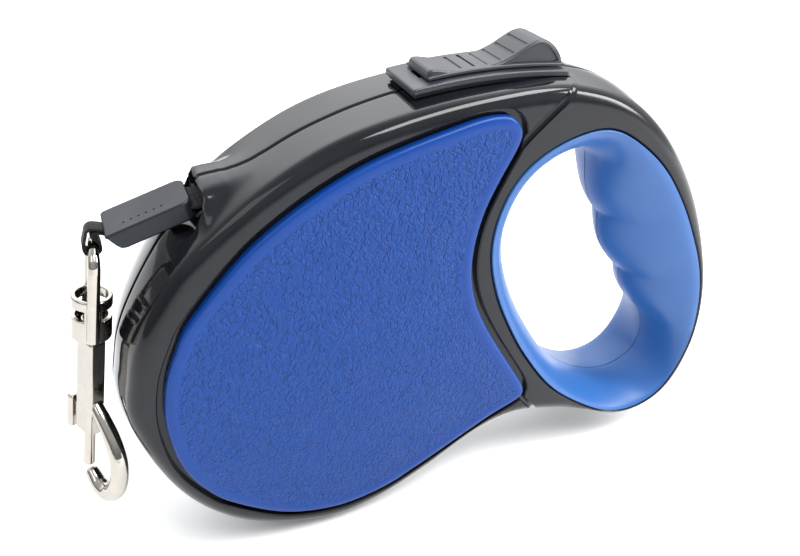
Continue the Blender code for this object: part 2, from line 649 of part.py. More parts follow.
def eye_link():
    """Stirrup and swivel collar cast in one."""
    path = [(-EYE_REACH, COLLAR_LOW + 1.4), (-EYE_REACH, -EYE_CORNER)]
    for degrees in (150.0, 120.0, 90.0):
        turn = math.radians(degrees)
        path.append((-EYE_REACH + EYE_CORNER * (1 + math.cos(turn)), EYE_CORNER * (math.sin(turn) - 1)))
    path += [(-x, z) for x, z in reversed(path)]
    link = tube("eye_link", [snap_point(x, z, EYE_TURN) for x, z in path], EYE_WIRE, NICKEL)
    join(link, snap_rod("eye_collar", COLLAR_LOW, COLLAR_HIGH, COLLAR_RADIUS))
    chamber = snap_rod("eye_chamber", COLLAR_LOW + 3.2, COLLAR_HIGH + 1, 3.2, segments=20)
    neck = snap_rod("eye_neck", COLLAR_LOW - 1, COLLAR_LOW + 4, 2.3, segments=16)
    window = snap_box("eye_window", 0, -15.0, (6.0, 14.0, 2.5), turn=EYE_TURN)
    cut(link, chamber, neck, window)
    move_origin(link, SNAP_ORIGIN)
    return link


def snap_hook_body():
    """Shank, swivel post and curved arm of the snap, cast in one."""
    middle, length = (SHANK_LOW + SHANK_HIGH) / 2, SHANK_HIGH - SHANK_LOW
    body = snap_box("snap_hook_body", 0, middle, (5.6, 4.6, length), NICKEL)
    post = snap_rod("hook_post", SHANK_HIGH - 1, COLLAR_LOW + 5.0, 1.9, segments=16)
    head = snap_rod("hook_post_head", COLLAR_LOW + 3.5, COLLAR_LOW + 6.4, 2.9, None, 2.2, 16)
    arm = tube("hook_arm", [snap_point(x, z, HOOK_TURN) for x, z in smooth_path(HOOK_ARM, 3)], 2.0, None)
    join(body, post, head, arm)
    bore = snap_rod("bolt_bore", SHANK_LOW - 1.0, SHANK_HIGH - 1.7, 1.7, segments=16)
    slot = snap_box("knob_slot", -2.4, -41.9, (4.0, 1.9, 12.8))
    cut(body, bore, slot)
    move_origin(body, snap_point(0, SHANK_HIGH))
    return body


def gate_bolt():
    """Sliding bolt that closes the hook, with its thumb knob."""
    bolt = snap_rod("gate_bolt", BOLT_LOW, BOLT_HIGH, BOLT_RADIUS, NICKEL, segments=16)
    join(bolt, snap_box("knob_neck", -2.6, -45.6, (4.6, 1.3, 5.0)),
         snap_box("knob_pad", -5.5, -45.8, (2.2, 3.8, 9.0)))
    move_origin(bolt, snap_point(0, BOLT_LOW))
    return bolt


def bolt_spring():
    points = []
    turns, per_turn, low, high = 6, 8, BOLT_HIGH + 0.5, SHANK_HIGH - 2.1
    for step in range(turns * per_turn + 1):
        turn = 360.0 * step / per_turn
        points.append(snap_point(1.2, low + (high - low) * step / (turns * per_turn), turn))
    return tube("bolt_spring", points, 0.22, STEEL, sides=0)


# ---------------------------------------------------------------- brake
def track_z(x, lift=0.0):
    """Height of the arched track of the brake button."""
    return TRACK_TOP_Z - TRACK_RADIUS + math.sqrt((TRACK_RADIUS + lift) ** 2 - (x - TRACK_X) ** 2)


def bezel_strip(name, gap, height, look=None):
    """Arched strip of the bezel, or with a gap and a height the seat that it sits in."""
    rings = []
    for x in np.linspace(BEZEL_FRONT_X - gap, BEZEL_REAR_X + gap, 8):
        low, high = track_z(x, -BEZEL_THICKNESS - gap), track_z(x, height)
        half = BEZEL_HALF_WIDTH + gap
        rings.append([(x, -half, low), (x, half, low), (x, half, high - 0.7), (x, half - 0.7, high),
                      (x, -half + 0.7, high), (x, -half, high - 0.7)])
    return loft(name, rings, look)


def button_bezel():
    """Arched cover strip that the brake button slides on."""
    bezel = bezel_strip("button_bezel", 0.0, 0.0, DARK_GREY)
    return cut(bezel, box("bezel_slot", (STEM_X - 2.1, 0, 52.0), SLOT_SIZE))


def button_outline():
    """Side view of the button: a low lip in front, a scoop and a high hump behind."""
    front, rear = -44.9, -10.8
    top = [(front, 54.6), (-44.2, 56.0), (-42.8, 56.2), (-39.5, 55.7), (-35.5, 55.5), (-31.0, 55.5),
           (-27.0, 56.1), (-23.6, 57.3), (-20.6, 59.0), (-18.2, 60.1), (-16.0, 60.4), (-14.0, 59.8),
           (-12.3, 57.6), (rear, 54.2)]
    base = [(x, track_z(x, GAP)) for x in np.linspace(rear, front, 8)]
    return np.array(top), np.array(base)


def brake_button():
    """Wave-shaped thumb slide with a stem down to the pawl."""
    top, base = button_outline()
    half = 5.6
    middle = top.mean(axis=0)
    rounded = np.vstack([top * 0.98 + middle * 0.02, base])
    full = np.vstack([top, base])
    button = loft("brake_button", [in_plane(rounded, -half), in_plane(full, -half + 0.7),
                                   in_plane(full, half - 0.7), in_plane(rounded, half)], DARK_GREY)
    height = 55.0 - STEM_LOW_Z
    join(button, box("button_stem", (STEM_X, 0, STEM_LOW_Z + height / 2), (3.0, 3.6, height)))
    move_origin(button, (TRACK_X, 0, TRACK_TOP_Z - TRACK_RADIUS))
    return button


def pawl_tooth():
    """Lower arm of the pawl, ending in the tooth over the rim of the ratchet flange."""
    angle = math.radians(PAWL_TOOTH_ANGLE)
    radial = np.array([math.cos(angle), math.sin(angle)])
    along = np.array([math.sin(angle), -math.cos(angle)])
    tip = np.array([REEL_X, REEL_Z]) + radial * (FLANGE_RADIUS + 0.4)
    pivot = np.array([PAWL_X, PAWL_Z])
    return np.array([tip - along * 1.9, tip - along * 1.4 + radial * 4.6, tip + along * 4.0 + radial * 4.6,
                     pivot + radial * 2.6, pivot - radial * 0.6, tip + along * 4.2 + radial * 1.6,
                     tip + along * 1.9 + radial * 1.2, tip + along * 1.9])


def pawl_fork():
    """Upper arm of the pawl, forked round the button's stem."""
    inner, outer = 2.1, 4.2
    return np.array([(PAWL_X - 2.2, PAWL_Z + 0.5), (PAWL_X + 2.4, PAWL_Z - 1.0),
                     (STEM_X + outer, FORK_LOW_Z - 3.0), (STEM_X + outer, FORK_TOP_Z),
                     (STEM_X + inner, FORK_TOP_Z), (STEM_X + inner, FORK_LOW_Z),
                     (STEM_X - inner, FORK_LOW_Z), (STEM_X - inner, FORK_TOP_Z),
                     (STEM_X - outer, FORK_TOP_Z), (STEM_X - outer, FORK_LOW_Z - 3.0)])


def brake_pawl():
    """Lever between the button's stem and the stops on the reel."""
    pawl = plate("brake_pawl", pawl_tooth(), -7.6, -4.8, INNER_GREY)
    join(pawl, rod("pawl_hub", (PAWL_X, -7.6, PAWL_Z), (PAWL_X, 2.0, PAWL_Z), 2.9, segments=20))
    join(pawl, plate("pawl_upper_arm", pawl_fork(), -1.8, 1.8, None))
    cut(pawl, rod("pawl_hole", (PAWL_X, -9, PAWL_Z), (PAWL_X, 9, PAWL_Z), 1.6, segments=16))
    move_origin(pawl, (PAWL_X, 0, PAWL_Z))
    return pawl


def brake_spring():
    """Torsion spring round the pawl's pin."""
    points = []
    turns, per_turn = 4, 8
    for step in range(turns * per_turn + 1):
        angle = 2 * math.pi * step / per_turn
        points.append((PAWL_X + 2.2 * math.cos(angle), 2.8 + 4.4 * step / (turns * per_turn),
                       PAWL_Z + 2.2 * math.sin(angle)))
    return tube("brake_spring", points, 0.25, STEEL, sides=0)


def build():
    shell("left_shell", -1)
    shell("right_shell", 1)
    side_panel("left_side_panel", -1)
    side_panel("right_side_panel", 1)
    grip_liner("left_grip_liner", -1)
    grip_liner("right_grip_liner", 1)
    for index, (x, z) in enumerate(SCREWS):
        housing_screw(f"housing_screw_{index + 1}", x, z)
    rod("reel_axle", (REEL_X, -12.4, REEL_Z), (REEL_X, 12.4, REEL_Z), AXLE_RADIUS, STEEL, segments=20)
    reel_drum()
    ratchet_flange()
    wound_tape()
    spring_cover()
    power_spring()
    spring_arbor()
    tape_guide()
    tape_run()
    stopper_block()
    tape_loop()
    eye_link()
    snap_hook_body()
    gate_bolt()
    bolt_spring()
    button_bezel()
    brake_button()
    brake_pawl()
    rod("pawl_pin", (PAWL_X, -12.4, PAWL_Z), (PAWL_X, 12.4, PAWL_Z), 1.5, STEEL, segments=16)
    brake_spring()


build()
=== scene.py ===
"""Looks of the retractable leash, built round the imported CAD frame.

Shape numbers are millimetres in the CAD frame and meshes are written in metres through MM.
+X runs from the nose to the handle's back, +Z is up and the left side is -Y.
"""
from math import asin, cos, degrees, pi, radians, sin, sqrt

import bmesh
import bpy
import numpy as np
from mathutils import Matrix, Vector


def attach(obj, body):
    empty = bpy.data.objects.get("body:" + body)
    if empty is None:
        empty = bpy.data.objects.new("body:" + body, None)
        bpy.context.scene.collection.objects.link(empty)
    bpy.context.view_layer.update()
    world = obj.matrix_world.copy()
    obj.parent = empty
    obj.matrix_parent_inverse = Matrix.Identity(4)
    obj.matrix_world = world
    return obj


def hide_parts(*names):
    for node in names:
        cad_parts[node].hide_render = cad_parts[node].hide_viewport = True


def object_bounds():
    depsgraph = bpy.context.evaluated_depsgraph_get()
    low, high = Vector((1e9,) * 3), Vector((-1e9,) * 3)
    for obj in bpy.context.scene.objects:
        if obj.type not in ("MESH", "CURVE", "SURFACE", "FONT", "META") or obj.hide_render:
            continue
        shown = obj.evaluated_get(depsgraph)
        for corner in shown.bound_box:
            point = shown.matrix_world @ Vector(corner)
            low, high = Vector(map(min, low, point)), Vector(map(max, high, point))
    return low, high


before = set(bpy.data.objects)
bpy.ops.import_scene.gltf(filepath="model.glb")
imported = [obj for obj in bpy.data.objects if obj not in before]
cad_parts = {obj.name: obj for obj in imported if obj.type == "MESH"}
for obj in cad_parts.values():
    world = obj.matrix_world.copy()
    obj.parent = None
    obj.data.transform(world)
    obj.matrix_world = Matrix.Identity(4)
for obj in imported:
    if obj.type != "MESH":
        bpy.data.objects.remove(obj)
cad_box = [list(corner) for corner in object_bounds()]

MM = 0.001
GAP = 0.3
TONGUE_Y = -0.14  # how far the right half's mouldings reach across the parting gap

# Housing, seen from the side (x, z): smooth closed lines through these points.
BODY_OUTLINE = [
    (-116.9, -12.5), (-115.4, 0.0), (-112.0, 9.4), (-104.6, 21.4), (-98.2, 28.6), (-83.3, 39.3),
    (-65.7, 47.4), (-44.0, 51.4), (-20.0, 52.2), (-6.8, 50.4), (5.4, 45.2), (17.0, 34.8),
    (27.2, 20.0), (34.3, 4.4), (38.8, -12.5), (39.8, -25.0), (38.2, -37.6), (33.6, -47.4),
    (25.5, -52.3), (15.0, -52.0), (4.4, -47.4), (-8.2, -43.0), (-20.0, -40.5), (-31.0, -43.0),
    (-46.0, -51.2), (-60.0, -57.2), (-73.0, -59.0), (-88.0, -55.2), (-100.8, -46.9), (-110.6, -33.0)]
PANEL_OUTLINE = [
    (-109.6, -9.5), (-108.0, -0.8), (-105.0, 6.5), (-100.3, 14.2), (-84.6, 29.5), (-63.5, 41.1),
    (-39.3, 47.3), (-30.0, 47.9), (-26.9, 46.4), (-25.4, 43.6), (-26.3, 40.0), (-29.9, 33.4), (-33.3, 26.2),
    (-35.4, 18.2), (-35.9, 9.8), (-34.4, 1.6), (-31.5, -5.8), (-27.7, -13.2), (-23.6, -20.6),
    (-19.8, -27.4), (-18.4, -30.9), (-19.8, -33.6), (-29.5, -37.6),
    (-48.4, -47.1), (-59.6, -51.8), (-72.4, -53.3), (-86.0, -49.7), (-98.8, -40.6), (-104.6, -33.2),
    (-107.9, -26.0), (-109.4, -18.0)]
GRIP_OUTER = [
    (-30.4, 14.7), (-28.8, 24.3), (-24.4, 32.5), (-16.3, 37.9), (-5.1, 40.5), (1.7, 38.7),
    (14.1, 28.9), (22.9, 17.2), (29.1, 5.8), (34.1, -5.8), (36.7, -18.2), (36.4, -31.5),
    (31.2, -44.5), (25.6, -49.0), (17.9, -50.3), (8.8, -47.3), (-7.3, -34.8), (-17.9, -20.1),
    (-24.4, -7.4), (-28.6, 3.9)]
GRIP_WAIST = [
    (-22.9, 11.5), (-21.6, 19.5), (-17.8, 26.6), (-11.8, 31.0), (-5.2, 32.0), (0.0, 31.3),
    (3.6, 28.6), (5.0, 23.6), (6.5, 17.4), (8.8, 10.6), (13.3, 0.8), (18.3, -8.3), (23.0, -16.3),
    (27.5, -23.6),
    (31.0, -30.6), (31.7, -37.2), (27.8, -43.6), (18.6, -45.9), (8.0, -42.1), (-2.8, -33.2),
    (-12.2, -18.4), (-19.2, -3.2)]
OUTLINE_COUNT, GRIP_COUNT, GRIP_CENTRE = 224, 192, (2.0, -6.0)
FINGER_VALLEYS_Z = (28.7, 10.0, -10.0, -26.0)
FINGER_HEIGHT = 2.5
FUNNEL_POWER = 1.6  # 2 would be a quarter ellipse
SMOOTH_HARMONICS = 20

HALF_WIDTH = 15.0
CROWN, CROWN_EDGE = 1.6, 12.0
RIDGE_TANGENT = 15.0  # degrees at which the ridge takes over from the crown
WALL, INNER_HALF_WIDTH = 2.2, 12.0
POCKET_HALF_WIDTH, PANEL_CHANNEL = 13.5, 1.5
# Side panel: its rounded edge, its border and step (inset, y) and its crowned field.
PANEL_CENTRE = (-62.0, -3.0)
PANEL_ROUNDING, PANEL_EDGE_Y = 1.1, 14.75
PANEL_STEP = ((1.4, 15.90), (1.8, 15.94), (2.1, 15.94), (2.35, 15.91), (2.6, 15.88), (2.9, 15.87))
FIELD_CROWN = 0.41
LINER_THICKNESS, LINER_SEAT_GAP, LINER_LIP_REACH = 1.6, 0.5, 0.35

# Nose: how far the middle of the top stands off the plain crown, at each x.
NOSE_SINK_X = (-95.0, -89.0, -86.0, -82.7, -78.0, -66.0, -50.0, -40.0, -20.0, -5.0, 5.0)
NOSE_SINK = (0.0, -0.1, -0.6, -1.2, -1.7, -1.9, -1.5, -1.3, -1.0, -0.5, 0.0)
NOSE_FLARE_X = (-96.6, -94.3, -93.2, -91.5, -89.6, -87.5, -85.0, -82.0)
NOSE_FLARE = (0.0, 4.3, 4.4, 3.4, 2.2, 1.1, 0.4, 0.0)
NOSE_TOP_Z = 24.0  # the sink and the flare act above this height
MOUTH_X = -94.2
MOUTH_HALF_X, MOUTH_HALF = (MOUTH_X, -88.0, -82.0), (9.6, 7.6, 6.4)
# Rings of the mouth from front to back: x, half width, low z, high z and corner radius.
MOUTH_RINGS = (
    (-103.0, 8.9, 28.6, 46.0, 2.0), (MOUTH_X - 0.02, 8.9, 28.6, 46.0, 2.0), (MOUTH_X, 8.3, 28.9, 38.4, 2.4),
    (-93.2, 7.6, 29.6, 37.9, 2.2), (-91.0, 7.0, 30.4, 37.6, 1.8), (-88.3, 6.9, 30.5, 37.6, 1.6))
# Groove between the reel case and the handle ring (x, distance from the parting plane, z).
GROOVE = [
    (-28.5, 14.9, 36.4), (-26.2, 15.0, 39.2), (-23.4, 15.0, 42.1), (-18.6, 15.0, 46.2), (-14.9, 15.0, 49.2),
    (-13.2, 14.6, 50.5), (-12.0, 13.6, 51.6), (-10.8, 12.0, 52.3), (-9.6, 9.0, 52.6), (-8.7, 5.0, 52.6),
    (-8.4, -1.0, 52.6)]
GROOVE_LOW = [(-18.9, 15.0, -33.4), (-16.6, 15.0, -36.6), (-14.8, 14.9, -38.9), (-13.6, 13.8, -40.6),
              (-12.6, 12.0, -42.0), (-11.6, 8.0, -43.2), (-11.2, -1.0, -44.0)]
GROOVE_RADIUS, GROOVE_LOW_RADIUS = 1.1, 0.85

# Reel
REEL_X, REEL_Z = -69.0, -4.8
AXLE_RADIUS, HUB_RADIUS, WINDING_RADIUS = 2.5, 18.0, 38.2
TAPE_WIDTH, TAPE_THICKNESS, TAPE_LAYERS = 10.0, 0.7, 29
TAPE_Z = REEL_Z + WINDING_RADIUS + GAP + TAPE_THICKNESS / 2
TAPE_TAIL_X = -45.0
BLOCK_REAR_X, BLOCK_REAR_Z = -95.5, 34.3
BLOCK_LENGTH, BLOCK_WIDTH, BLOCK_HEIGHT, BLOCK_PITCH = 18.3, 11.8, 4.4, 15.5
DIMPLE_FIRST_X, DIMPLE_PITCH, DIMPLE_Y, DIMPLE_RADIUS = -13.9, 1.62, -2.9, 0.27

# Trigger snap
SNAP_ORIGIN = (-116.2, 0.0, 27.6)
SNAP_LEAN, EYE_TURN, HOOK_TURN = 11.8, 90.0, -60.0
EYE_WIRE, EYE_BAR, EYE_REACH, EYE_CORNER = 1.3, 1.0, 4.5, 4.4
COLLAR_RADIUS, COLLAR_LOW, COLLAR_HIGH = 4.3, -22.4, -11.9
COLLAR_WINDOW, COLLAR_WINDOW_WIDTH, COLLAR_WINDOW_HEIGHT = -15.6, 7.8, 2.6
SHANK_LOW, SHANK_HIGH, SHANK_WIDTH, SHANK_DEPTH = -48.8, -23.2, 5.6, 3.9
BOLT_RADIUS, BOLT_LOW, BOLT_HIGH, BOLT_BORE = 1.3, -58.9, -38.2, 1.5
HOOK_ARM = [(1.2, -40.0), (4.6, -42.6), (8.2, -46.2), (11.0, -51.0), (11.5, -56.0), (10.2, -60.6),
            (7.4, -63.2), (4.0, -62.8), (1.2, -60.9)]
ARM_SHARES, ARM_RADII = (0.0, 0.25, 0.6, 0.85, 1.0), (1.5, 1.85, 2.15, 2.0, 1.55)
CHAMBER_RADIUS, NECK_RADIUS, POST_RADIUS, POST_HEAD_RADII = 3.3, 2.3, 1.9, (2.9, 2.2)
KNOB_NECK_X, KNOB_PAD_X = -2.6, -5.5

# Brake
TRACK_X, TRACK_TOP_Z, TRACK_RADIUS = -31.0, 54.7, 143.0
BEZEL_FRONT_X, BEZEL_REAR_X, BEZEL_HALF_WIDTH, BEZEL_THICKNESS = -49.3, -10.4, 8.2, 2.2
PAWL_X, PAWL_Z = -31.5, 16.8
STEM_X, STEM_LOW_Z = -38.0, 45.4
PLATE_THICKNESS, PLATE_END, PLATE_SOFT, PLATE_CHAMFER = 1.45, 1.1, 0.45, 0.25
BUTTON_TOP = [(-43.9, 54.6), (-43.7, 55.8), (-42.9, 56.4), (-41.4, 56.3), (-39.0, 55.8), (-35.5, 55.5),
              (-31.0, 55.5), (-27.0, 56.0), (-23.6, 57.1), (-20.8, 58.5), (-18.6, 59.5), (-16.6, 59.9),
              (-14.6, 59.4), (-12.8, 58.0), (-11.4, 56.2), (-10.5, 54.1)]
BUTTON_HALF_WIDTH, BUTTON_SOFT = 5.6, 0.8
SUNK_FROM_X, SUNK_LIFT, SUNK_INSET = -30.0, 1.15, 0.85
SLOT_CENTRE, SLOT_SIZE = (STEM_X - 2.1, 0.0, 52.0), (8.8, 5.0, 14.0)

# Posts inside the shells and their holes.
SCREWS = [(-113.2, -14.0), (-69.0, -51.0), (-62.0, 42.2), (4.0, 41.6), (-14.5, -35.5)]
POST_END_Y, SCREW_POST_RADIUS, AXLE_POST_RADIUS, PAWL_POST_RADIUS = 12.6, 2.9, 5.2, 2.8
SCREW_HOLE_RADIUS, SCREW_HEAD_RADIUS, PAWL_HOLE_RADIUS = 1.5, 2.5, 1.6
PILOT_END_Y, SCREW_HEAD_Y = 9.4, 11.2
AXLE_POST_Y, PAWL_POST_Y = (7.8, 11.8), 8.2  # the axle's post starts at 7.8 left and 11.8 right
WELD = 2e-6  # metres, as meshes are

# Looks
SATIN_SIDE_Y, SATIN_SIDE_ROUGHNESS = (13.9, 14.95), 0.16
GRAIN_PULL, GRAIN_STRETCH, GRAIN_CELLS = 1.1, 0.72, ((700.0, 0.20), (1300.0, 0.22))
FINE_CREASE_SHARE, CREASE_DEPTH, PORE_DEPTH = 0.35, 0.33, 0.02

# Stage, in metres and degrees
cad_middle = [(low + high) / 2 for low, high in zip(*cad_box)]
CAMERA_AZIMUTH, CAMERA_ELEVATION, CAMERA_DISTANCE = -22.3, 32.6, 0.217
CAMERA_AIM = (-0.04256, 0.01305, -0.00637)
CAMERA_LENS, SENSOR_WIDTH, CLIP_START = 36.13, 36.0, 0.01
FLOOR_HALF, FLOOR_GAP, WHITE, FLOOR_DARK, FLOOR_LIGHT = 3.0, 0.0002, (1.0, 1.0, 1.0), 0.90, 0.93
SKY_COLOUR, SKY_TOP, SKY_BACK, SKY_HORIZON = (0.97, 0.985, 1.0, 1.0), 0.50, 1.45, (0.30, 1.0)
# Softboxes: name, direction from the middle, distance, size and watts.
SOFTBOXES = (
    ("strip", (0.34, -0.30, 0.89), 0.9, (0.80, 0.20), 9.0),
    ("side_strip", (0.80, -0.36, 0.47), 0.9, (0.18, 0.60), 7.0),
    ("key", (-0.75, -0.45, 0.85), 1.0, (0.45, 0.30), 1.0))


# ---- materials
class Graph:
    """Nodes of a material or of the world, and the node that they end in."""

    def __init__(self, tree, end):
        self.tree = tree
        self.end = tree.nodes[end]

    def feed(self, socket, value):
        """Set a socket to a number or a tuple, or link a node's output to it."""
        if isinstance(value, (int, float, tuple)):
            socket.default_value = value
        else:
            self.tree.links.new(value, socket)

    def put(self, name, value):
        self.feed(self.end.inputs[name], value)

    def node(self, kind, inputs, **settings):
        made = self.tree.nodes.new("ShaderNode" + kind)
        for name, value in settings.items():
            setattr(made, name, value)
        for name, value in inputs.items():
            self.feed(made.inputs[name], value)
        return made.outputs

    def noise(self, where, scale, detail=2.0, roughness=0.5, distortion=0.0):
        inputs = {"Vector": where, "Scale": scale, "Detail": detail, "Roughness": roughness}
        return self.node("TexNoise", {**inputs, "Distortion": distortion})["Fac"]

    def remap(self, value, low, high, from_low=0.3, from_high=0.7, smooth=False):
        inputs = {"Value": value, "From Min": from_low, "From Max": from_high, "To Min": low, "To Max": high}
        kind = "SMOOTHSTEP" if smooth else "LINEAR"
        return self.node("MapRange", inputs, interpolation_type=kind)["Result"]

    def mixed(self, share, colour, first, second):
        """Colour times first where share is 0, and times second where it is 1."""
        tones = [(*(channel * factor for channel in colour), 1.0) for factor in (first, second)]
        return self.node("Mix", {"Factor": share, "A": tones[0], "B": tones[1]}, data_type="RGBA")["Result"]

    def bumped(self, height, distance, normal=None):
        """Normal raised by height, with distance in millimetres."""
        inputs = {"Height": height, "Distance": distance * MM}
        if normal:
            inputs["Normal"] = normal
        return self.node("Bump", inputs)["Normal"]

    def maths(self, operation, *values):
        return self.node("Math", dict(enumerate(values)), operation=operation)["Value"]

    def vector(self, operation, *values):
        return self.node("VectorMath", dict(enumerate(values)), operation=operation)["Vector"]


def new_material(name, specular=0.5):
    """A material, its graph and the object coordinates."""
    made = bpy.data.materials.new(name)
    made.use_nodes = True
    graph = Graph(made.node_tree, "Principled BSDF")
    graph.put("Specular IOR Level", specular)
    return made, graph, graph.node("TexCoord", {})["Object"]


def plastic(name, colour, roughness, grain=900.0, grain_height=0.010, spread=0.08, specular=0.5):
    """Moulded plastic: fine grain in the surface, slightly uneven gloss and tone."""
    made, graph, where = new_material(name, specular)
    graph.put("Roughness", graph.remap(graph.noise(where, 70.0, 3.0), *roughness))
    share = graph.remap(graph.noise(where, 45.0, 4.0), 0.0, 1.0)
    graph.put("Base Color", graph.mixed(share, colour, 1 - spread, 1 + spread))
    graph.put("Normal", graph.bumped(graph.noise(where, grain, 3.0, 0.6), grain_height))
    return made


def gloss_plastic(name, colour):
    """Polished black shell, satin on its flat sides, with faint swirls from handling."""
    made, graph, where = new_material(name, 0.28)
    outward = graph.maths("ABSOLUTE", graph.node("SeparateXYZ", {"Vector": where})["Y"], 0.0)
    low, high = (y * MM for y in SATIN_SIDE_Y)
    side = graph.remap(outward, 0.0, SATIN_SIDE_ROUGHNESS, low, high, smooth=True)
    gloss = graph.remap(graph.noise(where, 240.0, 4.0, 0.65, 1.2), 0.055, 0.105)
    graph.put("Roughness", graph.maths("ADD", side, gloss))
    share = graph.remap(graph.noise(where, 60.0, 3.0), 0.0, 1.0)
    graph.put("Base Color", graph.mixed(share, colour, 0.8, 1.25))
    graph.put("Normal", graph.bumped(graph.noise(where, 160.0, 1.0), 0.012))
    return made


def leather_grain(name, colour):
    """Plastic moulded with a fine creased leather grain; its colour is painted darker in the creases as
    shade.
    """
    made, graph, where = new_material(name, 0.24)
    warp = graph.node("TexNoise", {"Vector": where, "Scale": 600.0, "Detail": 3.0})["Color"]
    pulled = graph.vector("MULTIPLY_ADD", warp, (GRAIN_PULL * MM,) * 3, where)
    stretched = graph.vector("MULTIPLY", pulled, (1.0, 1.0, GRAIN_STRETCH))
    heights = []
    for scale, width in GRAIN_CELLS:
        cells = graph.node("TexVoronoi", {"Vector": stretched, "Scale": scale}, feature="DISTANCE_TO_EDGE")
        heights.append(graph.remap(cells["Distance"], 0.0, 1.0, 0.0, width, smooth=True))
    patch = graph.remap(graph.noise(where, 700.0, 2.0), 0.15, 1.0, 0.38, 0.62)
    creases = graph.maths("MULTIPLY", graph.maths("SUBTRACT", 1.0, heights[0]), patch)
    fine = graph.maths("MULTIPLY", graph.maths("SUBTRACT", 1.0, heights[1]), FINE_CREASE_SHARE)
    depth = graph.maths("ADD", creases, fine)
    pores = graph.bumped(graph.noise(where, 2600.0, 2.0), PORE_DEPTH)
    graph.put("Normal", graph.bumped(graph.maths("SUBTRACT", 1.0, depth), CREASE_DEPTH, pores))
    # Painted shade: the colour is darkest where the creases are deepest, with a faint painted highlight on
    # the ridges between them.
    share = graph.remap(depth, 0.0, 1.0, 0.0, 1.0)
    graph.put("Base Color", graph.mixed(share, colour, 1.03, 0.94))
    graph.put("Roughness", graph.remap(graph.noise(where, 160.0, 4.0), 0.36, 0.48))
    return made


def woven(name, colour):
    """Tightly woven nylon tape."""
    made, graph, where = new_material(name, 0.25)
    rows = []
    for direction in ("X", "Y"):
        inputs = {"Vector": where, "Scale": 330.0, "Distortion": 0.6, "Detail": 1.0}
        rows.append(graph.node("TexWave", inputs, bands_direction=direction)["Fac"])
    weave = graph.maths("MULTIPLY", rows[0], rows[1])
    fibres = graph.noise(where, 2400.0, 4.0, 0.7)
    height = graph.maths("ADD", weave, graph.maths("MULTIPLY", fibres, 0.5))
    graph.put("Normal", graph.bumped(height, 0.09))
    graph.put("Base Color", graph.mixed(weave, colour, 0.6, 1.8))
    graph.put("Roughness", graph.remap(fibres, 0.62, 0.85))
    graph.put("Sheen Weight", 0.08)
    graph.put("Sheen Roughness", 0.4)
    return made


def metal(name, colour, roughness, ripple, ripple_scale):
    """Plated or plain metal with soft ripples, rubbed spots and uneven polish."""
    made, graph, where = new_material(name)
    graph.put("Metallic", 1.0)
    rub = graph.noise(where, 380.0, 5.0, 0.62, 0.8)
    graph.put("Roughness", graph.remap(rub, *roughness))
    graph.put("Base Color", graph.mixed(graph.remap(rub, 0.0, 1.0), colour, 0.88, 1.0))
    graph.put("Normal", graph.bumped(graph.noise(where, ripple_scale, 2.0), ripple))
    return made


GLOSS_BLACK = gloss_plastic("gloss_black_look", (0.007, 0.0075, 0.010))
PANEL_BLUE = leather_grain("leather_grain_blue", (0.0015, 0.040, 0.215))
BORDER_BLUE = plastic("smooth_blue", (0.0026, 0.038, 0.208), (0.26, 0.36), 1400.0, 0.004, 0.04, 0.22)
LINER_BLUE = plastic("satin_blue", (0.021, 0.096, 0.296), (0.36, 0.48), 1500.0, 0.008, 0.05, 0.42)
DARK_GREY = plastic("satin_dark_grey", (0.016, 0.019, 0.0255), (0.30, 0.40), 1700.0, 0.012, 0.10, 0.50)
BLOCK_GREY = plastic("satin_black_grey", (0.0075, 0.0100, 0.0155), (0.34, 0.44), 1700.0, 0.012, 0.10, 0.28)
INNER_GREY = plastic("moulded_grey", (0.300, 0.310, 0.320), (0.45, 0.60))
INNER_BLACK = plastic("moulded_black", (0.008, 0.008, 0.009), (0.45, 0.60))
WEBBING = woven("woven_black", (0.0055, 0.0055, 0.0070))
NICKEL = metal("polished_nickel", (0.440, 0.412, 0.370), (0.06, 0.16), 0.04, 160.0)
STEEL = metal("bright_steel", (0.560, 0.570, 0.580), (0.25, 0.42), 0.006, 900.0)


# ---- outlines
def turns(start, end, count):
    """Evenly spaced angles in radians between two in degrees."""
    return np.radians(np.linspace(start, end, count))


def circle(count):
    return np.linspace(0.0, 2 * pi, count, endpoint=False)


def rounding(radius, count):
    """(along, inset) steps of a rounded end, from its flat face to the full section."""
    return [(radius * (1 - cos(turn)), radius * (1 - sin(turn))) for turn in turns(0, 90, count)]


def catmull_rom(knots, step):
    """Point at a share of the span between the middle two of four knots."""
    p0, p1, p2, p3 = knots
    return (p1 + 0.5 * step * (p2 - p0)
            + step ** 2 * (p0 - 2.5 * p1 + 2.0 * p2 - 0.5 * p3)
            + step ** 3 * (-0.5 * p0 + 1.5 * p1 - 1.5 * p2 + 0.5 * p3))


def smooth_loop(points, count):
    """Closed Catmull-Rom line through points, resampled to evenly spaced points."""
    knots = np.array(points, dtype=float)
    steps = np.linspace(0.0, 1.0, 24, endpoint=False)[:, None]
    pieces = [catmull_rom([knots[(index + shift) % len(knots)] for shift in (-1, 0, 1, 2)], steps)
              for index in range(len(knots))]
    dense = np.vstack(pieces + [knots[:1]])
    run = np.concatenate([[0.0], np.cumsum(np.linalg.norm(np.diff(dense, axis=0), axis=1))])
    wanted = np.linspace(0.0, run[-1], count, endpoint=False)
    return np.column_stack([np.interp(wanted, run, dense[:, axis]) for axis in (0, 1)])


def smooth_path(points, per_span=6):
    """Open Catmull-Rom line through points of any dimension."""
    knots = np.array(points, dtype=float)
    knots = np.vstack([2 * knots[0] - knots[1], knots, 2 * knots[-1] - knots[-2]])
    path = []
    for index in range(1, len(knots) - 2):
        for step in np.linspace(0.0, 1.0, per_span, endpoint=False):
            path.append(catmull_rom(knots[index - 1:index + 3], step))
    path.append(knots[-2])
    return np.array(path)


def signed_area(loop):
    following = np.roll(loop, -1, axis=0)
    return 0.5 * np.sum(loop[:, 0] * following[:, 1] - following[:, 0] * loop[:, 1])


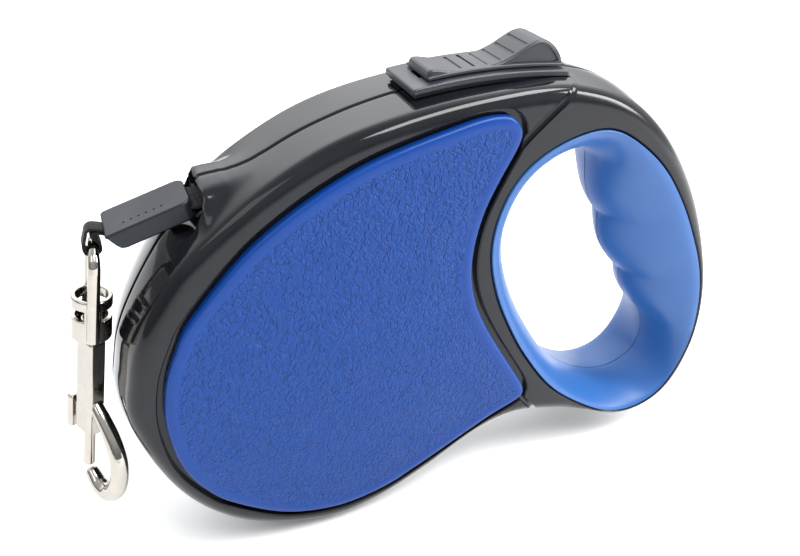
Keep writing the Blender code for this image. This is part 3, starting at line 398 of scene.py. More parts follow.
def offset_loop(loop, distance):
    """Move every point outwards by distance, one value or one for each point."""
    along = np.roll(loop, -1, axis=0) - np.roll(loop, 1, axis=0)
    along /= np.linalg.norm(along, axis=1)[:, None]
    outward = np.column_stack([along[:, 1], -along[:, 0]]) * np.sign(signed_area(loop))
    return loop + outward * np.broadcast_to(distance, len(loop))[:, None]


def polar_loop(points, count, centre):
    """Sample a star-shaped smooth loop at equal angles about centre."""
    dense = smooth_loop(points, 1200) - np.array(centre)
    angles = np.arctan2(dense[:, 1], dense[:, 0])
    order = np.argsort(angles)
    radii = np.hypot(dense[:, 0], dense[:, 1])[order]
    wanted = np.linspace(-pi, pi, count, endpoint=False)
    radius = np.interp(wanted, angles[order], radii, period=2 * pi)
    waves = np.fft.rfft(radius)
    waves *= np.exp(-(np.arange(len(waves)) / SMOOTH_HARMONICS) ** 2)
    radius = np.fft.irfft(waves, count)
    return np.column_stack([np.cos(wanted), np.sin(wanted)]) * radius[:, None] + np.array(centre)


def finger_bumps(loop):
    """Rounded rises between the fingers on the back wall of the waist, as a shift towards -X."""
    depth = np.interp(-loop[:, 1], [-z for z in FINGER_VALLEYS_Z], range(len(FINGER_VALLEYS_Z)))
    on_wall = (loop[:, 0] > GRIP_CENTRE[0] - 3.0) & (depth > 0.0) & (depth < len(FINGER_VALLEYS_Z) - 1)
    return np.where(on_wall, FINGER_HEIGHT * np.abs(np.sin(pi * depth)) ** 0.75, 0.0)


GRIP_OUTER_LOOP = polar_loop(GRIP_OUTER, GRIP_COUNT, GRIP_CENTRE)
GRIP_WAIST_LOOP = polar_loop(GRIP_WAIST, GRIP_COUNT, GRIP_CENTRE)
GRIP_DEPTH = np.linalg.norm(GRIP_OUTER_LOOP - GRIP_WAIST_LOOP, axis=1)
GRIP_LEVELS = [HALF_WIDTH * sin(turn) for turn in turns(degrees(asin(GAP / 2 / HALF_WIDTH)), 78.5, 24)]


def in_plane(loop, y):
    """Put an (x, z) loop at a given y."""
    return np.column_stack([loop[:, 0], np.full(len(loop), y), loop[:, 1]])


def grip_ring(y, side, behind=0.0, bumps=True):
    """Ring of the rounded funnel of the hand opening at y, or of the surface behind it."""
    share = y / HALF_WIDTH
    root = (1.0 - share ** FUNNEL_POWER) ** (1.0 / FUNNEL_POWER)
    loop = GRIP_WAIST_LOOP * root + GRIP_OUTER_LOOP * (1.0 - root)
    if bumps:
        fade = max(0.0, 1.0 - (1.15 * share) ** 2)
        loop = loop - np.column_stack([finger_bumps(loop) * fade, np.zeros(len(loop))])
    slope = GRIP_DEPTH / HALF_WIDTH * (share / root) ** (FUNNEL_POWER - 1.0)
    cosine = 1.0 / np.sqrt(1.0 + slope * slope)
    loop = offset_loop(loop, behind * cosine)
    return np.column_stack([loop[:, 0], side * (y - behind * slope * cosine), loop[:, 1]])


def lip_ring(y, side, outward):
    return in_plane(offset_loop(GRIP_OUTER_LOOP, outward), side * y)


def rounded_rectangle(half, low, high, corner, count):
    """Closed rounded rectangle as (across, up) points."""
    ring = []
    for right, upper, start in ((1, 1, 0), (-1, 1, 90), (-1, -1, 180), (1, -1, 270)):
        for turn in turns(start, start + 90, count):
            ring.append((right * (half - corner) + corner * cos(turn),
                         (high - corner if upper > 0 else low + corner) + corner * sin(turn)))
    return ring


def rounded_top(x, half, high, corner, count):
    """Points over the top of a strip at x, from its right edge to its left one."""
    right = [(x, half - corner + corner * cos(turn), high - corner + corner * sin(turn))
             for turn in turns(0, 90, count)]
    return right + [(x, -y, z) for x, y, z in reversed(right)]


# ---- mesh helpers
def in_scene(name, data):
    made = bpy.data.objects.new(name, data)
    bpy.context.scene.collection.objects.link(made)
    return made


def finished_mesh(name, builder, look, sharp):
    mesh = bpy.data.meshes.new(name)
    bmesh.ops.recalc_face_normals(builder, faces=builder.faces)
    builder.to_mesh(mesh)
    builder.free()
    if look:
        mesh.materials.append(look)
    mesh.shade_smooth()
    mesh.set_sharp_from_angle(angle=radians(sharp))
    return in_scene(name, mesh)


def placed(builder, rings):
    """Vertices of rings in millimetres."""
    return [[builder.verts.new(Vector(point) * MM) for point in ring] for ring in rings]


def skin(builder, lower, upper, look_index=0):
    """Faces between two rows of equal length."""
    for index in range(len(lower)):
        after = (index + 1) % len(lower)
        face = builder.faces.new((lower[index], lower[after], upper[after], upper[index]))
        face.material_index = look_index


def loft(name, rings, look=None, closed=False, sharp=35.0):
    """Skin equal-length rings (mm); ends are capped, or joined to each other when closed."""
    builder = bmesh.new()
    rows = placed(builder, rings)
    pairs = list(zip(rows, rows[1:]))
    if closed:
        pairs.append((rows[-1], rows[0]))
    else:
        builder.faces.new(rows[0])
        builder.faces.new(rows[-1])
    for lower, upper in pairs:
        skin(builder, lower, upper)
    return finished_mesh(name, builder, look, sharp)


def plate(name, loop, y_low, y_high):
    return loft(name, [in_plane(loop, y_low), in_plane(loop, y_high)])


def box(name, centre, size, rotation=None, soft=0.0):
    """Block, with softened edges when soft is given; rotation is a 3x3 matrix."""
    builder = bmesh.new()
    bmesh.ops.create_cube(builder, size=1.0)
    scale = Matrix.Diagonal((*(value * MM for value in size), 1.0))
    bmesh.ops.transform(builder, matrix=scale, verts=builder.verts)
    if soft:
        bmesh.ops.bevel(builder, geom=list(builder.edges), offset=soft * MM, segments=3, profile=0.5,
                        affect="EDGES")
    turn = rotation.to_4x4() if rotation else Matrix.Identity(4)
    bmesh.ops.transform(builder, matrix=Matrix.Translation(Vector(centre) * MM) @ turn, verts=builder.verts)
    return finished_mesh(name, builder, None, 35.0)


def swept(name, stations, segments, look=None):
    """Round bar through (point, radius) stations."""
    points = [Vector(point) for point, _ in stations]
    rings = []
    side = None
    for index, (_, radius) in enumerate(stations):
        ahead = points[min(index + 1, len(points) - 1)] - points[max(index - 1, 0)]
        ahead.normalize()
        if side is None:
            side = ahead.orthogonal().normalized()
        else:
            side = (side - ahead * side.dot(ahead)).normalized()
        other = ahead.cross(side)
        rings.append([points[index] + float(radius) * (cos(turn) * side + sin(turn) * other)
                      for turn in circle(segments)])
    return loft(name, rings, look)


def rod(name, start, end, radius, segments=32, end_radius=None, soft=0.0):
    """Round bar, or cone, from start to end, with rounded ends when soft is given."""
    first, last = Vector(start), Vector(end)
    end_radius = end_radius or radius
    length = (last - first).length
    if not soft:
        return swept(name, [(first, radius), (last, end_radius)], segments)
    ends = rounding(soft, 5)
    low = [(first.lerp(last, along / length), radius - inset) for along, inset in ends]
    high = [(last.lerp(first, along / length), end_radius - inset) for along, inset in reversed(ends)]
    return swept(name, low + high, segments)


def carve(item, operation, cutters):
    for cutter in cutters:
        modifier = item.modifiers.new(cutter.name, "BOOLEAN")
        modifier.operation = operation
        modifier.solver = "EXACT"
        modifier.object = cutter


def cut(item, *cutters):
    carve(item, "DIFFERENCE", cutters)
    return item


def join(item, *others):
    carve(item, "UNION", others)


def apply_modifiers(item):
    """Put what the modifiers make in the place of the item's mesh."""
    depsgraph = bpy.context.evaluated_depsgraph_get()
    mesh = bpy.data.meshes.new_from_object(item.evaluated_get(depsgraph))
    old, item.data = item.data, mesh
    item.modifiers.clear()
    bpy.data.meshes.remove(old)
    mesh.name = item.name
    return mesh


def paint(mesh, look):
    mesh.materials.clear()
    mesh.materials.append(look)
    for face in mesh.polygons:
        face.material_index = 0
    mesh.shade_smooth()


def merge(item):
    """Work out the Booleans, clear their cutters away and weld what they leave."""
    cutters = [modifier.object for modifier in item.modifiers]
    for cutter in list(cutters):
        cutters += [modifier.object for modifier in cutter.modifiers]
    mesh = apply_modifiers(item)
    for cutter in set(cutters):
        bpy.data.objects.remove(cutter, do_unlink=True)
    builder = bmesh.new()
    builder.from_mesh(mesh)
    bmesh.ops.remove_doubles(builder, verts=builder.verts, dist=WELD)
    bmesh.ops.dissolve_degenerate(builder, edges=builder.edges, dist=WELD)
    builder.to_mesh(mesh)
    builder.free()
    return mesh


def settle(item, sharp, look):
    """Merge the item and give it its look, with crisp edges above an angle in degrees."""
    mesh = merge(item)
    paint(mesh, look)
    mesh.set_sharp_from_angle(angle=radians(sharp))
    modifier = item.modifiers.new("even_normals", "WEIGHTED_NORMAL")
    modifier.keep_sharp = True
    modifier.weight = 60


def cast(item, voxel, smoothing, look):
    """Turn a joined shape into one cast body with softened corners."""
    merge(item)
    remesh = item.modifiers.new("cast", "REMESH")
    remesh.mode = "VOXEL"
    remesh.voxel_size = voxel * MM
    smooth = item.modifiers.new("soften", "SMOOTH")
    smooth.factor = 0.5
    smooth.iterations = smoothing
    paint(apply_modifiers(item), look)


def keep(piece, body, node):
    """The piece rides on a body and stands for a CAD node."""
    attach(piece, body)
    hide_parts(node)


# ---- housing
def body_levels():
    """(distance from the parting plane, inset of the outline) from the middle to the side."""
    levels = [(GAP / 2, -CROWN + 0.95), (0.32, -CROWN + 0.38), (0.75, -CROWN + 0.04)]
    levels += [(y, -CROWN * (1.0 - (y / CROWN_EDGE) ** 2)) for y in np.linspace(1.2, CROWN_EDGE, 13)]
    first = radians(RIDGE_TANGENT)
    radius = (HALF_WIDTH - CROWN_EDGE) / (1.0 - sin(first))
    for turn in turns(RIDGE_TANGENT, 90.0, 13)[1:]:
        levels.append((CROWN_EDGE + radius * (sin(turn) - sin(first)), radius * (cos(first) - cos(turn))))
    return levels


def ridge_share(loop, depth):
    """Share of the ridge that fits beside the grip's lip, for each outline point."""
    gaps = np.linalg.norm(loop[:, None, :] - GRIP_OUTER_LOOP[None, :, :], axis=2).min(axis=1)
    return np.clip((gaps - 0.8) / depth, 0.1, 1.0)


def nose_shape(loop, y):
    """Sink and flare of the nose's top at a distance from the parting plane."""
    on_top = loop[:, 1] > NOSE_TOP_Z
    sink = np.interp(loop[:, 0], NOSE_SINK_X, NOSE_SINK, left=0.0, right=0.0)
    sink *= max(0.0, 1.0 - (y / CROWN_EDGE) ** 2)
    flare = np.interp(loop[:, 0], NOSE_FLARE_X, NOSE_FLARE, left=0.0, right=0.0)
    half = np.interp(loop[:, 0], MOUTH_HALF_X, MOUTH_HALF)
    ramp = np.clip((half * 1.25 - y) / (half * 0.6), 0.0, 1.0)
    flare *= ramp * ramp * (3.0 - 2.0 * ramp)
    return loop + np.column_stack([np.zeros(len(loop)), np.where(on_top, sink + flare, 0.0)])


def body_outline():
    """Outline with extra points where the nose flares."""
    loop = smooth_loop(BODY_OUTLINE, OUTLINE_COUNT * 4)
    near = (loop[:, 0] < -82.0) & (loop[:, 0] > -99.0) & (loop[:, 1] > 20.0)
    keep_every = np.where(near, 1, 4)
    return loop[np.arange(len(loop)) % keep_every == 0]


def grip_core(name, side, behind, level_step, point_step, lips):
    """Body that fills the hand opening out to a surface behind the funnel's, then to (y, reach) lips."""
    rings = [grip_ring(y, side, behind, False) for y in GRIP_LEVELS[::level_step]]
    rings[0][:, 1] = side * -1.0
    rings += [lip_ring(y, side, reach) for y, reach in lips]
    return loft(name, [ring[::point_step] for ring in rings])


def cavity(name, side):
    """Room for the reel and the brake, with the wall round the hand opening left standing."""
    outer = smooth_loop(BODY_OUTLINE, 96)
    room = plate(name, offset_loop(outer, -WALL), side * -0.5, side * INNER_HALF_WIDTH)
    behind, reach = LINER_THICKNESS + LINER_SEAT_GAP + 1.8, LINER_LIP_REACH + GAP + 1.6
    return cut(room, grip_core(name + "_grip_wall", side, behind, 3, 2, ((11.2, reach), (14.0, reach))))


def hand_opening(name, side):
    """Seat of the grip liner, cut through the shell."""
    reach = LINER_LIP_REACH + GAP
    lips = ((12.8, reach), (14.7, reach), (15.1, reach + 0.4), (18.0, reach + 0.4))
    return grip_core(name, side, LINER_THICKNESS + LINER_SEAT_GAP, 2, 1, lips)


def panel_pocket(name, side):
    """Recess behind a side panel, with its upper edge eased."""
    loop = smooth_loop(PANEL_OUTLINE, OUTLINE_COUNT)
    rings = [in_plane(offset_loop(loop, PANEL_CHANNEL), side * y) for y in (POCKET_HALF_WIDTH, 14.7)]
    rings += [in_plane(offset_loop(loop, PANEL_CHANNEL + 0.35), side * y) for y in (15.05, 20.0)]
    return loft(name, rings)


def mouth_cutter(name):
    """Opening that the tape leaves by, flared towards its lip."""
    return loft(name, [[(x, across, up) for across, up in rounded_rectangle(half, low, high, corner, 6)]
                       for x, half, low, high, corner in MOUTH_RINGS])


def bezel_seat(name):
    """Arched seat that the bezel sits in, open at the top."""
    half = BEZEL_HALF_WIDTH + GAP
    rings = []
    for x in np.linspace(BEZEL_FRONT_X - GAP, BEZEL_REAR_X + GAP, 25):
        low = track_z(x, -BEZEL_THICKNESS - GAP)
        rings.append([(x, -half, low), (x, half, low)] + rounded_top(x, half, track_z(x, 20.0), 0.7, 5))
    return loft(name, rings)


def track_z(x, lift=0.0):
    """Height of the arched track of the brake button."""
    return TRACK_TOP_Z - TRACK_RADIUS + sqrt((TRACK_RADIUS + lift) ** 2 - (x - TRACK_X) ** 2)


def groove_cutter(name, path, side, radius):
    points = smooth_path([(x, side * y, z) for x, y, z in path], 5)
    return swept(name, [(point, radius) for point in points], 12)


def cross_rod(name, place, start, end, radius):
    """Round bar along Y at an (x, z) place."""
    x, z = place
    return rod(name, (x, start, z), (x, end, z), radius)


def shell(name, side, node):
    """Half of the housing, hollow, with its posts, holes, seats and grooves."""
    outline = body_outline()
    levels = body_levels()
    share = ridge_share(outline, levels[-1][1])
    if side > 0:
        levels.insert(0, (TONGUE_Y, levels[0][1] + 0.03))
    rings = []
    for y, inset in levels:
        here = np.where(inset > 0, inset * share, inset)
        rings.append(in_plane(nose_shape(offset_loop(outline, -here), y), side * y))
    half = loft(name, rings, GLOSS_BLACK)
    cut(half, cavity(name + "_cavity", side))
    reel, pawl, end = (REEL_X, REEL_Z), (PAWL_X, PAWL_Z), side * POST_END_Y
    posts = [cross_rod(f"{name}_boss_{index}", place, side * GAP / 2, end, SCREW_POST_RADIUS)
             for index, place in enumerate(SCREWS)]
    posts.append(cross_rod(name + "_axle_boss", reel, side * AXLE_POST_Y[side > 0], end, AXLE_POST_RADIUS))
    posts.append(cross_rod(name + "_pawl_boss", pawl, side * PAWL_POST_Y, end, PAWL_POST_RADIUS))
    join(half, *posts)
    cut(half, hand_opening(name + "_opening", side), panel_pocket(name + "_pocket", side),
        cross_rod(name + "_axle_bore", reel, 0, end, AXLE_RADIUS + 0.1),
        cross_rod(name + "_pawl_bore", pawl, 0, end, PAWL_HOLE_RADIUS), mouth_cutter(name + "_mouth"),
        box(name + "_tape_path", (-84.0, 0, TAPE_Z), (16.0, 12.0, 3.4)),
        box(name + "_stem_slot", SLOT_CENTRE, SLOT_SIZE), bezel_seat(name + "_bezel_seat"),
        groove_cutter(name + "_groove", GROOVE, side, GROOVE_RADIUS),
        groove_cutter(name + "_groove_low", GROOVE_LOW, side, GROOVE_LOW_RADIUS))
    for index, place in enumerate(SCREWS):
        if side < 0:
            cut(half, cross_rod(f"{name}_pilot_{index}", place, 1, -PILOT_END_Y, SCREW_HOLE_RADIUS))
        else:
            cut(half, cross_rod(f"{name}_shaft_{index}", place, -1, 20, SCREW_HOLE_RADIUS),
                cross_rod(f"{name}_head_{index}", place, SCREW_HEAD_Y, 20, SCREW_HEAD_RADIUS))
    settle(half, 28.0, GLOSS_BLACK)
    keep(half, "housing", node)


def side_panel(name, side, node):
    """Raised panel: smooth rounded border, a shallow step and a grained field with a slight crown."""
    loop = smooth_loop(PANEL_OUTLINE, OUTLINE_COUNT)
    rings = [in_plane(loop, side * (POCKET_HALF_WIDTH + GAP))]
    for turn in turns(0.0, 80.0, 9):
        rings.append(in_plane(offset_loop(loop, -PANEL_ROUNDING * (1 - cos(turn))),
                              side * (PANEL_EDGE_Y + PANEL_ROUNDING * sin(turn))))
    rings += [in_plane(offset_loop(loop, -inset), side * y) for inset, y in PANEL_STEP]
    field_inset, field_y = PANEL_STEP[-1]
    inner, centre = offset_loop(loop, -field_inset), np.array(PANEL_CENTRE)
    border_rows = len(rings)
    for share in np.linspace(1.0, 0.0, 26)[1:-1]:
        y = side * (field_y + FIELD_CROWN * (1 - share ** 2))
        rings.append(in_plane(centre + (inner - centre) * share, y))
    builder = bmesh.new()
    rows = placed(builder, rings)
    builder.faces.new(rows[0])
    for level, (lower, upper) in enumerate(zip(rows, rows[1:])):
        skin(builder, lower, upper, 1 if level >= border_rows - 1 else 0)
    tip = builder.verts.new(Vector((centre[0], side * (field_y + FIELD_CROWN), centre[1])) * MM)
    last = rows[-1]
    for index in range(len(last)):
        builder.faces.new((last[index], last[(index + 1) % len(last)], tip)).material_index = 1
    panel = finished_mesh(name, builder, BORDER_BLUE, 40.0)
    panel.data.materials.append(PANEL_BLUE)
    keep(panel, "housing", node)


def grip_liner(name, side, node):
    """Soft lining of the hand opening: front face from the waist to a rolled lip, then the back face."""
    front = [grip_ring(y, side) for y in GRIP_LEVELS]
    tongue = []
    if side > 0:
        tongue = [grip_ring(GRIP_LEVELS[0], side, behind, False) for behind in (0.4, LINER_THICKNESS)]
        for ring in tongue:
            ring[:, 1] = TONGUE_Y
    lip = [lip_ring(14.72 + 0.42 * sin(turn), side, -0.12 + 0.45 * cos(turn)) for turn in turns(60, -10, 6)]
    lip.append(lip_ring(HALF_WIDTH - 1.7, side, LINER_LIP_REACH))
    back = [grip_ring(y, side, LINER_THICKNESS, False) for y in reversed(GRIP_LEVELS)]
    liner = loft(name, tongue[:1] + front + lip + back + tongue[1:], LINER_BLUE, closed=True, sharp=50.0)
    keep(liner, "housing", node)


# ---- tape end
def block_rotation():
    return Matrix.Rotation(radians(-BLOCK_PITCH), 3, "Y")


def block_point(local):
    """Point of the block's frame in the shared frame; its origin is the rear face's centre."""
    return block_rotation() @ Vector(local) + Vector((BLOCK_REAR_X, 0.0, BLOCK_REAR_Z))


def block_plan():
    """Outline of the block seen from above, from its square front end to its rounded rear."""
    plan = [(along - BLOCK_LENGTH, BLOCK_WIDTH / 2 - inset) for along, inset in rounding(0.8, 6)]
    plan += [(-along, BLOCK_WIDTH / 2 - inset) for along, inset in reversed(rounding(2.1, 9))]
    return [(x, -y) for x, y in plan] + plan[::-1]


def stopper_block():
    """Rounded block that stops the tape at the nose, with a row of six dimples on its top."""
    half, rise = BLOCK_WIDTH / 2, BLOCK_HEIGHT / 2
    levels = [(-rise, 0.75, 2.0), (-rise + 0.2, 0.3, 1.9), (-rise + 0.6, 0.0, 1.7)]
    levels += [(z, 0.0, 1.7 * (0.5 - z / (2 * rise))) for z in (-0.6, 0.2, 1.1)]
    levels += [(rise - drop, inset, 0.0) for inset, drop in rounding(0.5, 6)]
    rings = []
    for z, inset, front in levels:
        ring = []
        for x, y in block_plan():
            x_here = x * (1.0 - inset / BLOCK_LENGTH) - inset * 0.5
            if x < -BLOCK_LENGTH + 1.0:
                x_here += front + inset * 0.8
            ring.append(block_point((x_here, y * (1.0 - inset / half), z)))
        rings.append(ring)
    block = loft("stopper_block_body", rings, BLOCK_GREY)
    cut(block, box("block_pocket", (BLOCK_REAR_X, 0, TAPE_Z), (8.4, TAPE_WIDTH + 0.6, TAPE_THICKNESS + 0.8)),
        box("block_mouth", block_point((-BLOCK_LENGTH, 0, 0.3)), (8.4, 5.2, 2.9), rotation=block_rotation()))
    for index in range(6):
        x, y = DIMPLE_FIRST_X + DIMPLE_PITCH * index, DIMPLE_Y
        cut(block, rod(f"dimple_{index}", block_point((x, y, rise + 0.4)), block_point((x, y, rise - 0.3)),
                       DIMPLE_RADIUS, 12))
    settle(block, 30.0, BLOCK_GREY)
    keep(block, "tape_end", "stopper_block")


def band(name, path, thickness, half_width, edge, node):
    """Webbing on the tape's end that follows an (x, z) path with its width along Y."""
    path = np.array(path)
    section = rounded_rectangle(half_width, -thickness / 2, thickness / 2, edge, 4)
    rings = []
    for index, (x, z) in enumerate(path):
        ahead = path[min(index + 1, len(path) - 1)] - path[max(index - 1, 0)]
        ahead = ahead / np.linalg.norm(ahead)
        rings.append([(x - ahead[1] * lift, across, z + ahead[0] * lift) for across, lift in section])
    keep(loft(name, rings, WEBBING), "tape_end", node)


def tape_run():
    path = [(x, TAPE_Z) for x in np.linspace(TAPE_TAIL_X, BLOCK_REAR_X - 3.6, 60)]
    band("tape_run_webbing", path, TAPE_THICKNESS, TAPE_WIDTH / 2, 0.3, "tape_run")


def tape_loop():
    """Doubled webbing that leaves the block's front, turns down and wraps the bar of the snap's eye."""
    x, _, z = SNAP_ORIGIN
    steps = [(6.2, 3.55), (3.4, 3.15), (1.6, 3.75), (0.3, 4.05), (-0.6, 3.6), (-0.98, 2.7), (-1.45, 1.5),
             (-1.86, 0.2), (-1.6, -1.2), (0.0, -1.9), (1.25, -1.05), (1.4, 0.2), (0.95, 1.3), (0.2, 2.1),
             (0.15, 2.75), (0.9, 3.0), (2.0, 2.75), (3.4, 2.35), (6.2, 2.85)]
    path = smooth_path([(x + ahead, z + rise) for ahead, rise in steps])
    band("tape_loop_webbing", path, 0.6, 1.9, 0.25, "tape_loop")


def wound_tape():
    """Wound tape, with each of its layers showing at the sides of the winding."""
    profile = []
    for side in (1, -1):
        radii = np.linspace(HUB_RADIUS + GAP, WINDING_RADIUS, TAPE_LAYERS * 4 + 1)
        rows = [(radius, side * (TAPE_WIDTH / 2 - (0.12 if index % 4 == 0 else 0.0)))
                for index, radius in enumerate(radii)]
        profile += rows if side > 0 else rows[::-1]
    rings = [[(REEL_X + radius * cos(turn), y, REEL_Z + radius * sin(turn)) for radius, y in profile]
             for turn in circle(120)]
    keep(loft("wound_webbing", rings, WEBBING, closed=True), "reel", "wound_tape")


# ---- trigger snap
def snap_rotation(turn):
    lean = Matrix.Rotation(radians(SNAP_LEAN), 3, "Y")
    return lean @ Matrix.Rotation(radians(turn), 3, "Z")


def snap_point(across, height, turn=0.0):
    """Point at a distance across the swivel axis and a height along it."""
    return snap_rotation(turn) @ Vector((across, 0.0, height)) + Vector(SNAP_ORIGIN)


def snap_rod(name, low, high, radius, end_radius=None, soft=0.0):
    return rod(name, snap_point(0, low), snap_point(0, high), radius, 48, end_radius, soft)


def snap_box(name, across, height, size, turn=HOOK_TURN, soft=0.0):
    return box(name, snap_point(across, height, turn), size, snap_rotation(turn), soft)


def eye_link():
    """Stirrup and swivel collar cast in one: two rings joined by the stirrup's legs."""
    path = [(-EYE_REACH, COLLAR_LOW + 1.0, EYE_WIRE), (-EYE_REACH, COLLAR_HIGH, EYE_WIRE),
            (-EYE_REACH, -EYE_CORNER, EYE_WIRE)]
    for turn in turns(165.0, 90.0, 6):
        share = sin(turn)
        path.append((-EYE_REACH + EYE_CORNER * (1 + cos(turn)), EYE_CORNER * (share - 1),
                     EYE_WIRE + (EYE_BAR - EYE_WIRE) * share ** 2))
    path += [(-x, z, radius) for x, z, radius in reversed(path)]
    link = swept("eye_link_cast", [(snap_point(x, z, EYE_TURN), radius) for x, z, radius in path], 24, NICKEL)
    join(link, snap_rod("eye_collar", COLLAR_LOW, COLLAR_HIGH, COLLAR_RADIUS, soft=0.5))
    window = (COLLAR_WINDOW_WIDTH, 14.0, COLLAR_WINDOW_HEIGHT)
    cut(link, snap_rod("eye_chamber", COLLAR_LOW + 2.4, COLLAR_HIGH + 1, CHAMBER_RADIUS),
        snap_rod("eye_neck", COLLAR_LOW - 1, COLLAR_LOW + 4, NECK_RADIUS),
        snap_box("eye_window", 0, COLLAR_WINDOW, window, EYE_TURN))
    cast(link, 0.13, 3, NICKEL)
    keep(link, "eye", "eye_link")


def arm_stations():
    """Curved arm, thin at the shank, thick at the bend and rounded at its tip."""
    points = smooth_path(HOOK_ARM, 5)
    radii = np.interp(np.linspace(0.0, 1.0, len(points)), ARM_SHARES, ARM_RADII)
    stations = [(snap_point(x, z, HOOK_TURN), radius) for (x, z), radius in zip(points, radii)]
    tip = points[-1]
    ahead = (tip - points[-2]) / np.linalg.norm(tip - points[-2])
    for turn in turns(20.0, 80.0, 4):
        x, z = tip + ahead * radii[-1] * 0.7 * sin(turn)
        stations.append((snap_point(x, z, HOOK_TURN), radii[-1] * cos(turn)))
    return stations


def snap_hook_body():
    """Shank, swivel post and curved arm of the snap, cast in one."""
    middle, length = (SHANK_LOW + SHANK_HIGH) / 2, SHANK_HIGH - SHANK_LOW
    body = snap_box("snap_hook_cast", 0, middle, (SHANK_WIDTH, SHANK_DEPTH, length), soft=0.6)
    post = snap_rod("hook_post", SHANK_HIGH - 1, COLLAR_LOW + 4.0, POST_RADIUS)
    head = snap_rod("hook_post_head", COLLAR_LOW + 2.7, COLLAR_LOW + 4.6, *POST_HEAD_RADII)
    join(body, post, head, swept("hook_arm", arm_stations(), 32))
    cut(body, snap_rod("bolt_bore", SHANK_LOW - 1.0, SHANK_HIGH - 2.6, BOLT_BORE),
        snap_box("knob_slot", KNOB_NECK_X, -41.9, (4.2, 1.9, 12.8)))
    cast(body, 0.15, 3, NICKEL)
    keep(body, "hook", "snap_hook_body")


def gate_bolt():
    """Sliding bolt that closes the hook, with its thumb knob."""
    bolt = snap_rod("gate_bolt_cast", BOLT_LOW, BOLT_HIGH, BOLT_RADIUS, soft=0.4)
    join(bolt, snap_box("knob_neck", KNOB_NECK_X, -45.6, (4.6, 1.3, 5.0)),
         snap_box("knob_pad", KNOB_PAD_X, -45.8, (2.2, 3.8, 9.0), soft=0.6))
    cast(bolt, 0.1, 2, NICKEL)
    keep(bolt, "bolt", "gate_bolt")


# ---- brake
def button_bezel():
    """Arched cover plate on a narrower plinth, with a slot for the button's stem."""
    bezel = bezel_plate()
    join(bezel, bezel_plinth())
    cut(bezel, box("bezel_slot", SLOT_CENTRE, SLOT_SIZE))
    settle(bezel, 30.0, DARK_GREY)
    keep(bezel, "housing", "button_bezel")


def bezel_plate():
    """Upper plate of the bezel, rounded along its edges and at its ends."""
    front = BEZEL_FRONT_X + PLATE_END
    ends = rounding(PLATE_SOFT, 5)
    stations = [(front + ahead, drop) for ahead, drop in ends]
    stations += [(x, 0.0) for x in np.linspace(front + 1.0, BEZEL_REAR_X - 1.0, 45)]
    stations += [(BEZEL_REAR_X - ahead, drop) for ahead, drop in reversed(ends)]
    rings = []
    for x, drop in stations:
        low, half = track_z(x, -PLATE_THICKNESS + drop * 0.3), BEZEL_HALF_WIDTH - drop
        foot, edge = half - PLATE_CHAMFER, low + PLATE_CHAMFER
        rings.append([(x, -foot, low), (x, foot, low), (x, half, edge)]
                     + rounded_top(x, half, track_z(x, -drop), 0.5, 6) + [(x, -half, edge)])
    return loft("button_bezel_plate", rings, DARK_GREY)


def bezel_plinth():
    half = BEZEL_HALF_WIDTH - 0.7
    rings = []
    for x in np.linspace(BEZEL_FRONT_X + PLATE_END + 0.7, BEZEL_REAR_X - 0.7, 33):
        low, high = track_z(x, -BEZEL_THICKNESS), track_z(x, -PLATE_THICKNESS + 0.4)
        rings.append([(x, -half, low), (x, half, low), (x, half, high), (x, -half, high)])
    return loft("bezel_plinth", rings)


def button_section(top, inset):
    """Closed side view of the button with its top and ends drawn in by inset."""
    middle, half = (top[0, 0] + top[-1, 0]) / 2, (top[-1, 0] - top[0, 0]) / 2
    x = middle + (top[:, 0] - middle) * (1 - inset / half)
    floor_line = np.array([track_z(value, GAP) for value in x])
    z = np.maximum(top[:, 1] - inset, floor_line + 0.05)
    base = [(value, track_z(value, GAP)) for value in np.linspace(x[-1], x[0], 40)]
    return np.vstack([np.column_stack([x, z]), base])


def button_skirt():
    """Narrow rounded rail round the foot of the button."""
    half = BUTTON_HALF_WIDTH + 0.45
    rings = []
    for x in np.linspace(-43.8, -10.6, 41):
        low = track_z(x, GAP)
        rings.append([(x, -half, low), (x, half, low)] + rounded_top(x, half, low + 0.7, 0.4, 5))
    return loft("button_skirt", rings)


def brake_button():
    """Wave-shaped thumb slide with grip grooves, sunk side faces and a stem down to the pawl."""
    top = smooth_path(BUTTON_TOP, 5)
    rings = []
    for sign in (-1, 1):
        rows = [in_plane(button_section(top, inset), sign * (BUTTON_HALF_WIDTH - narrowing))
                for narrowing, inset in rounding(BUTTON_SOFT, 6)]
        rings += rows if sign < 0 else rows[::-1]
    button = loft("brake_button_cap", rings, DARK_GREY)
    height = 55.0 - STEM_LOW_Z
    join(button, box("button_stem", (STEM_X, 0, STEM_LOW_Z + height / 2), (3.0, 3.6, height)), button_skirt())
    for index, x in enumerate(np.linspace(-35.6, -19.8, 6)):
        z = np.interp(x, top[:, 0], top[:, 1]) + 0.17
        cut(button, rod(f"grip_groove_{index}", (x, -4.3, z), (x, 4.3, z), 0.38, segments=20, soft=0.2))
    inner_top = button_section(top, SUNK_INSET)[:len(top)]
    low_line = np.array([track_z(x, SUNK_LIFT) for x in inner_top[:, 0]])
    sunk = inner_top[(inner_top[:, 0] > SUNK_FROM_X) & (inner_top[:, 1] > low_line + 0.15)]
    foot = [(x, track_z(x, SUNK_LIFT)) for x in np.linspace(sunk[-1, 0], sunk[0, 0], 12)[1:-1]]
    sunk = np.vstack([sunk, foot])
    for sign in (-1, 1):
        inner, outer = sign * (BUTTON_HALF_WIDTH - 0.35), sign * (BUTTON_HALF_WIDTH + 1.0)
        cut(button, plate(f"sunk_side_{sign}", sunk, inner, outer))
    settle(button, 30.0, DARK_GREY)
    keep(button, "button", "brake_button")


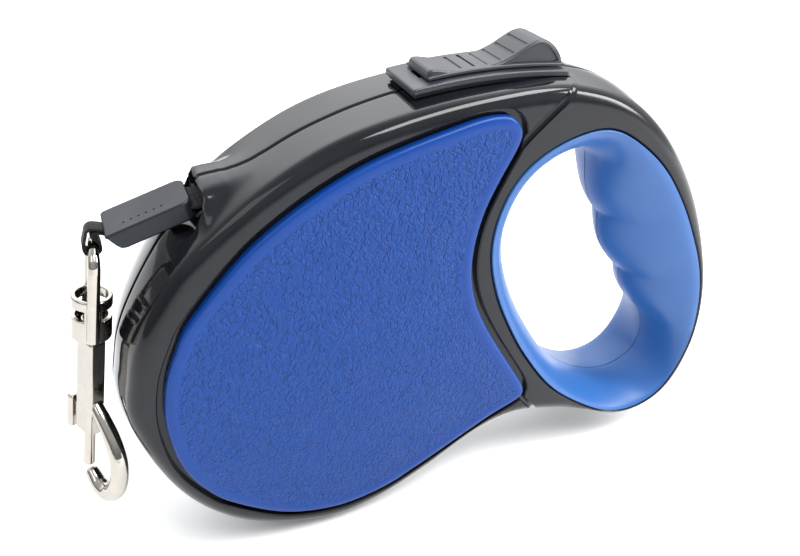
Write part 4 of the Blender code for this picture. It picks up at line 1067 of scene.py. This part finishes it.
# ---- carried-over CAD nodes
LOOKS = {"gloss_black": GLOSS_BLACK, "royal_blue": PANEL_BLUE, "soft_blue": LINER_BLUE,
         "dark_grey": INNER_BLACK, "inner_grey": INNER_GREY, "webbing": WEBBING, "nickel": NICKEL,
         "steel": STEEL}


def dress_nodes():
    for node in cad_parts.values():
        for item in node.material_slots:
            old = item.material.name.split(".")[0] if item.material else ""
            item.material = LOOKS.get(old, STEEL)


# ---- stage
def area_light(name, towards, distance, size, watts):
    """Softbox in a direction from the object's middle, facing it."""
    data = bpy.data.lights.new(name, "AREA")
    data.shape = "RECTANGLE"
    data.size, data.size_y = size
    data.energy = watts
    light = in_scene(name, data)
    direction = Vector(towards).normalized()
    light.location = Vector(cad_middle) + direction * distance
    light.rotation_euler = direction.to_track_quat("Z", "Y").to_euler()


def camera():
    azimuth, elevation = radians(CAMERA_AZIMUTH), radians(CAMERA_ELEVATION)
    back = Vector((sin(azimuth) * cos(elevation), -cos(azimuth) * cos(elevation), sin(elevation)))
    data = bpy.data.cameras.new("camera")
    data.lens = CAMERA_LENS
    data.sensor_width = SENSOR_WIDTH
    data.clip_start = CLIP_START
    made = in_scene("camera", data)
    made.location = Vector(CAMERA_AIM) + back * CAMERA_DISTANCE
    made.rotation_euler = back.to_track_quat("Z", "Y").to_euler()
    bpy.context.scene.camera = made


def floor():
    builder = bmesh.new()
    bmesh.ops.create_grid(builder, x_segments=8, y_segments=8, size=FLOOR_HALF)
    place = (cad_middle[0], 0.0, cad_box[0][2] - FLOOR_GAP)
    bmesh.ops.translate(builder, vec=place, verts=builder.verts)
    made, graph, where = new_material("pale_floor", 0.1)
    graph.put("Base Color", graph.mixed(graph.noise(where, 3.0, 2.0), WHITE, FLOOR_DARK, FLOOR_LIGHT))
    graph.put("Roughness", 0.9)
    finished_mesh("floor", builder, made, 35.0)


def studio():
    """World that is brightest behind and above, with softboxes round the object."""
    world = bpy.data.worlds.new("studio")
    bpy.context.scene.world = world
    world.use_nodes = True
    graph = Graph(world.node_tree, "Background")
    split = graph.node("SeparateXYZ", {"Vector": graph.node("TexCoord", {})["Generated"]})
    up = graph.remap(split["Z"], 0.0, 1.0, 0.06, 0.5, smooth=True)
    behind = graph.remap(split["Y"], 0.0, 1.0, -0.1, 0.7, smooth=True)
    top = graph.maths("MULTIPLY", up, SKY_TOP)
    glow = graph.maths("MULTIPLY", graph.maths("MULTIPLY", up, behind), SKY_BACK)
    horizon = graph.remap(graph.maths("ADD", split["X"], split["Y"]), *SKY_HORIZON, -0.3, 1.2, smooth=True)
    graph.put("Strength", graph.maths("ADD", graph.maths("ADD", top, glow), horizon))
    graph.put("Color", SKY_COLOUR)
    for softbox in SOFTBOXES:
        area_light(*softbox)
    bpy.context.scene.view_settings.view_transform = "Standard"


dress_nodes()
camera()
floor()
studio()
for side, word in ((-1, "left"), (1, "right")):
    shell(word + "_shell_moulding", side, word + "_shell")
    side_panel(word + "_panel_moulding", side, word + "_side_panel")
    grip_liner(word + "_grip_lining", side, word + "_grip_liner")
stopper_block()
tape_run()
tape_loop()
wound_tape()
eye_link()
snap_hook_body()
gate_bolt()
button_bezel()
brake_button()
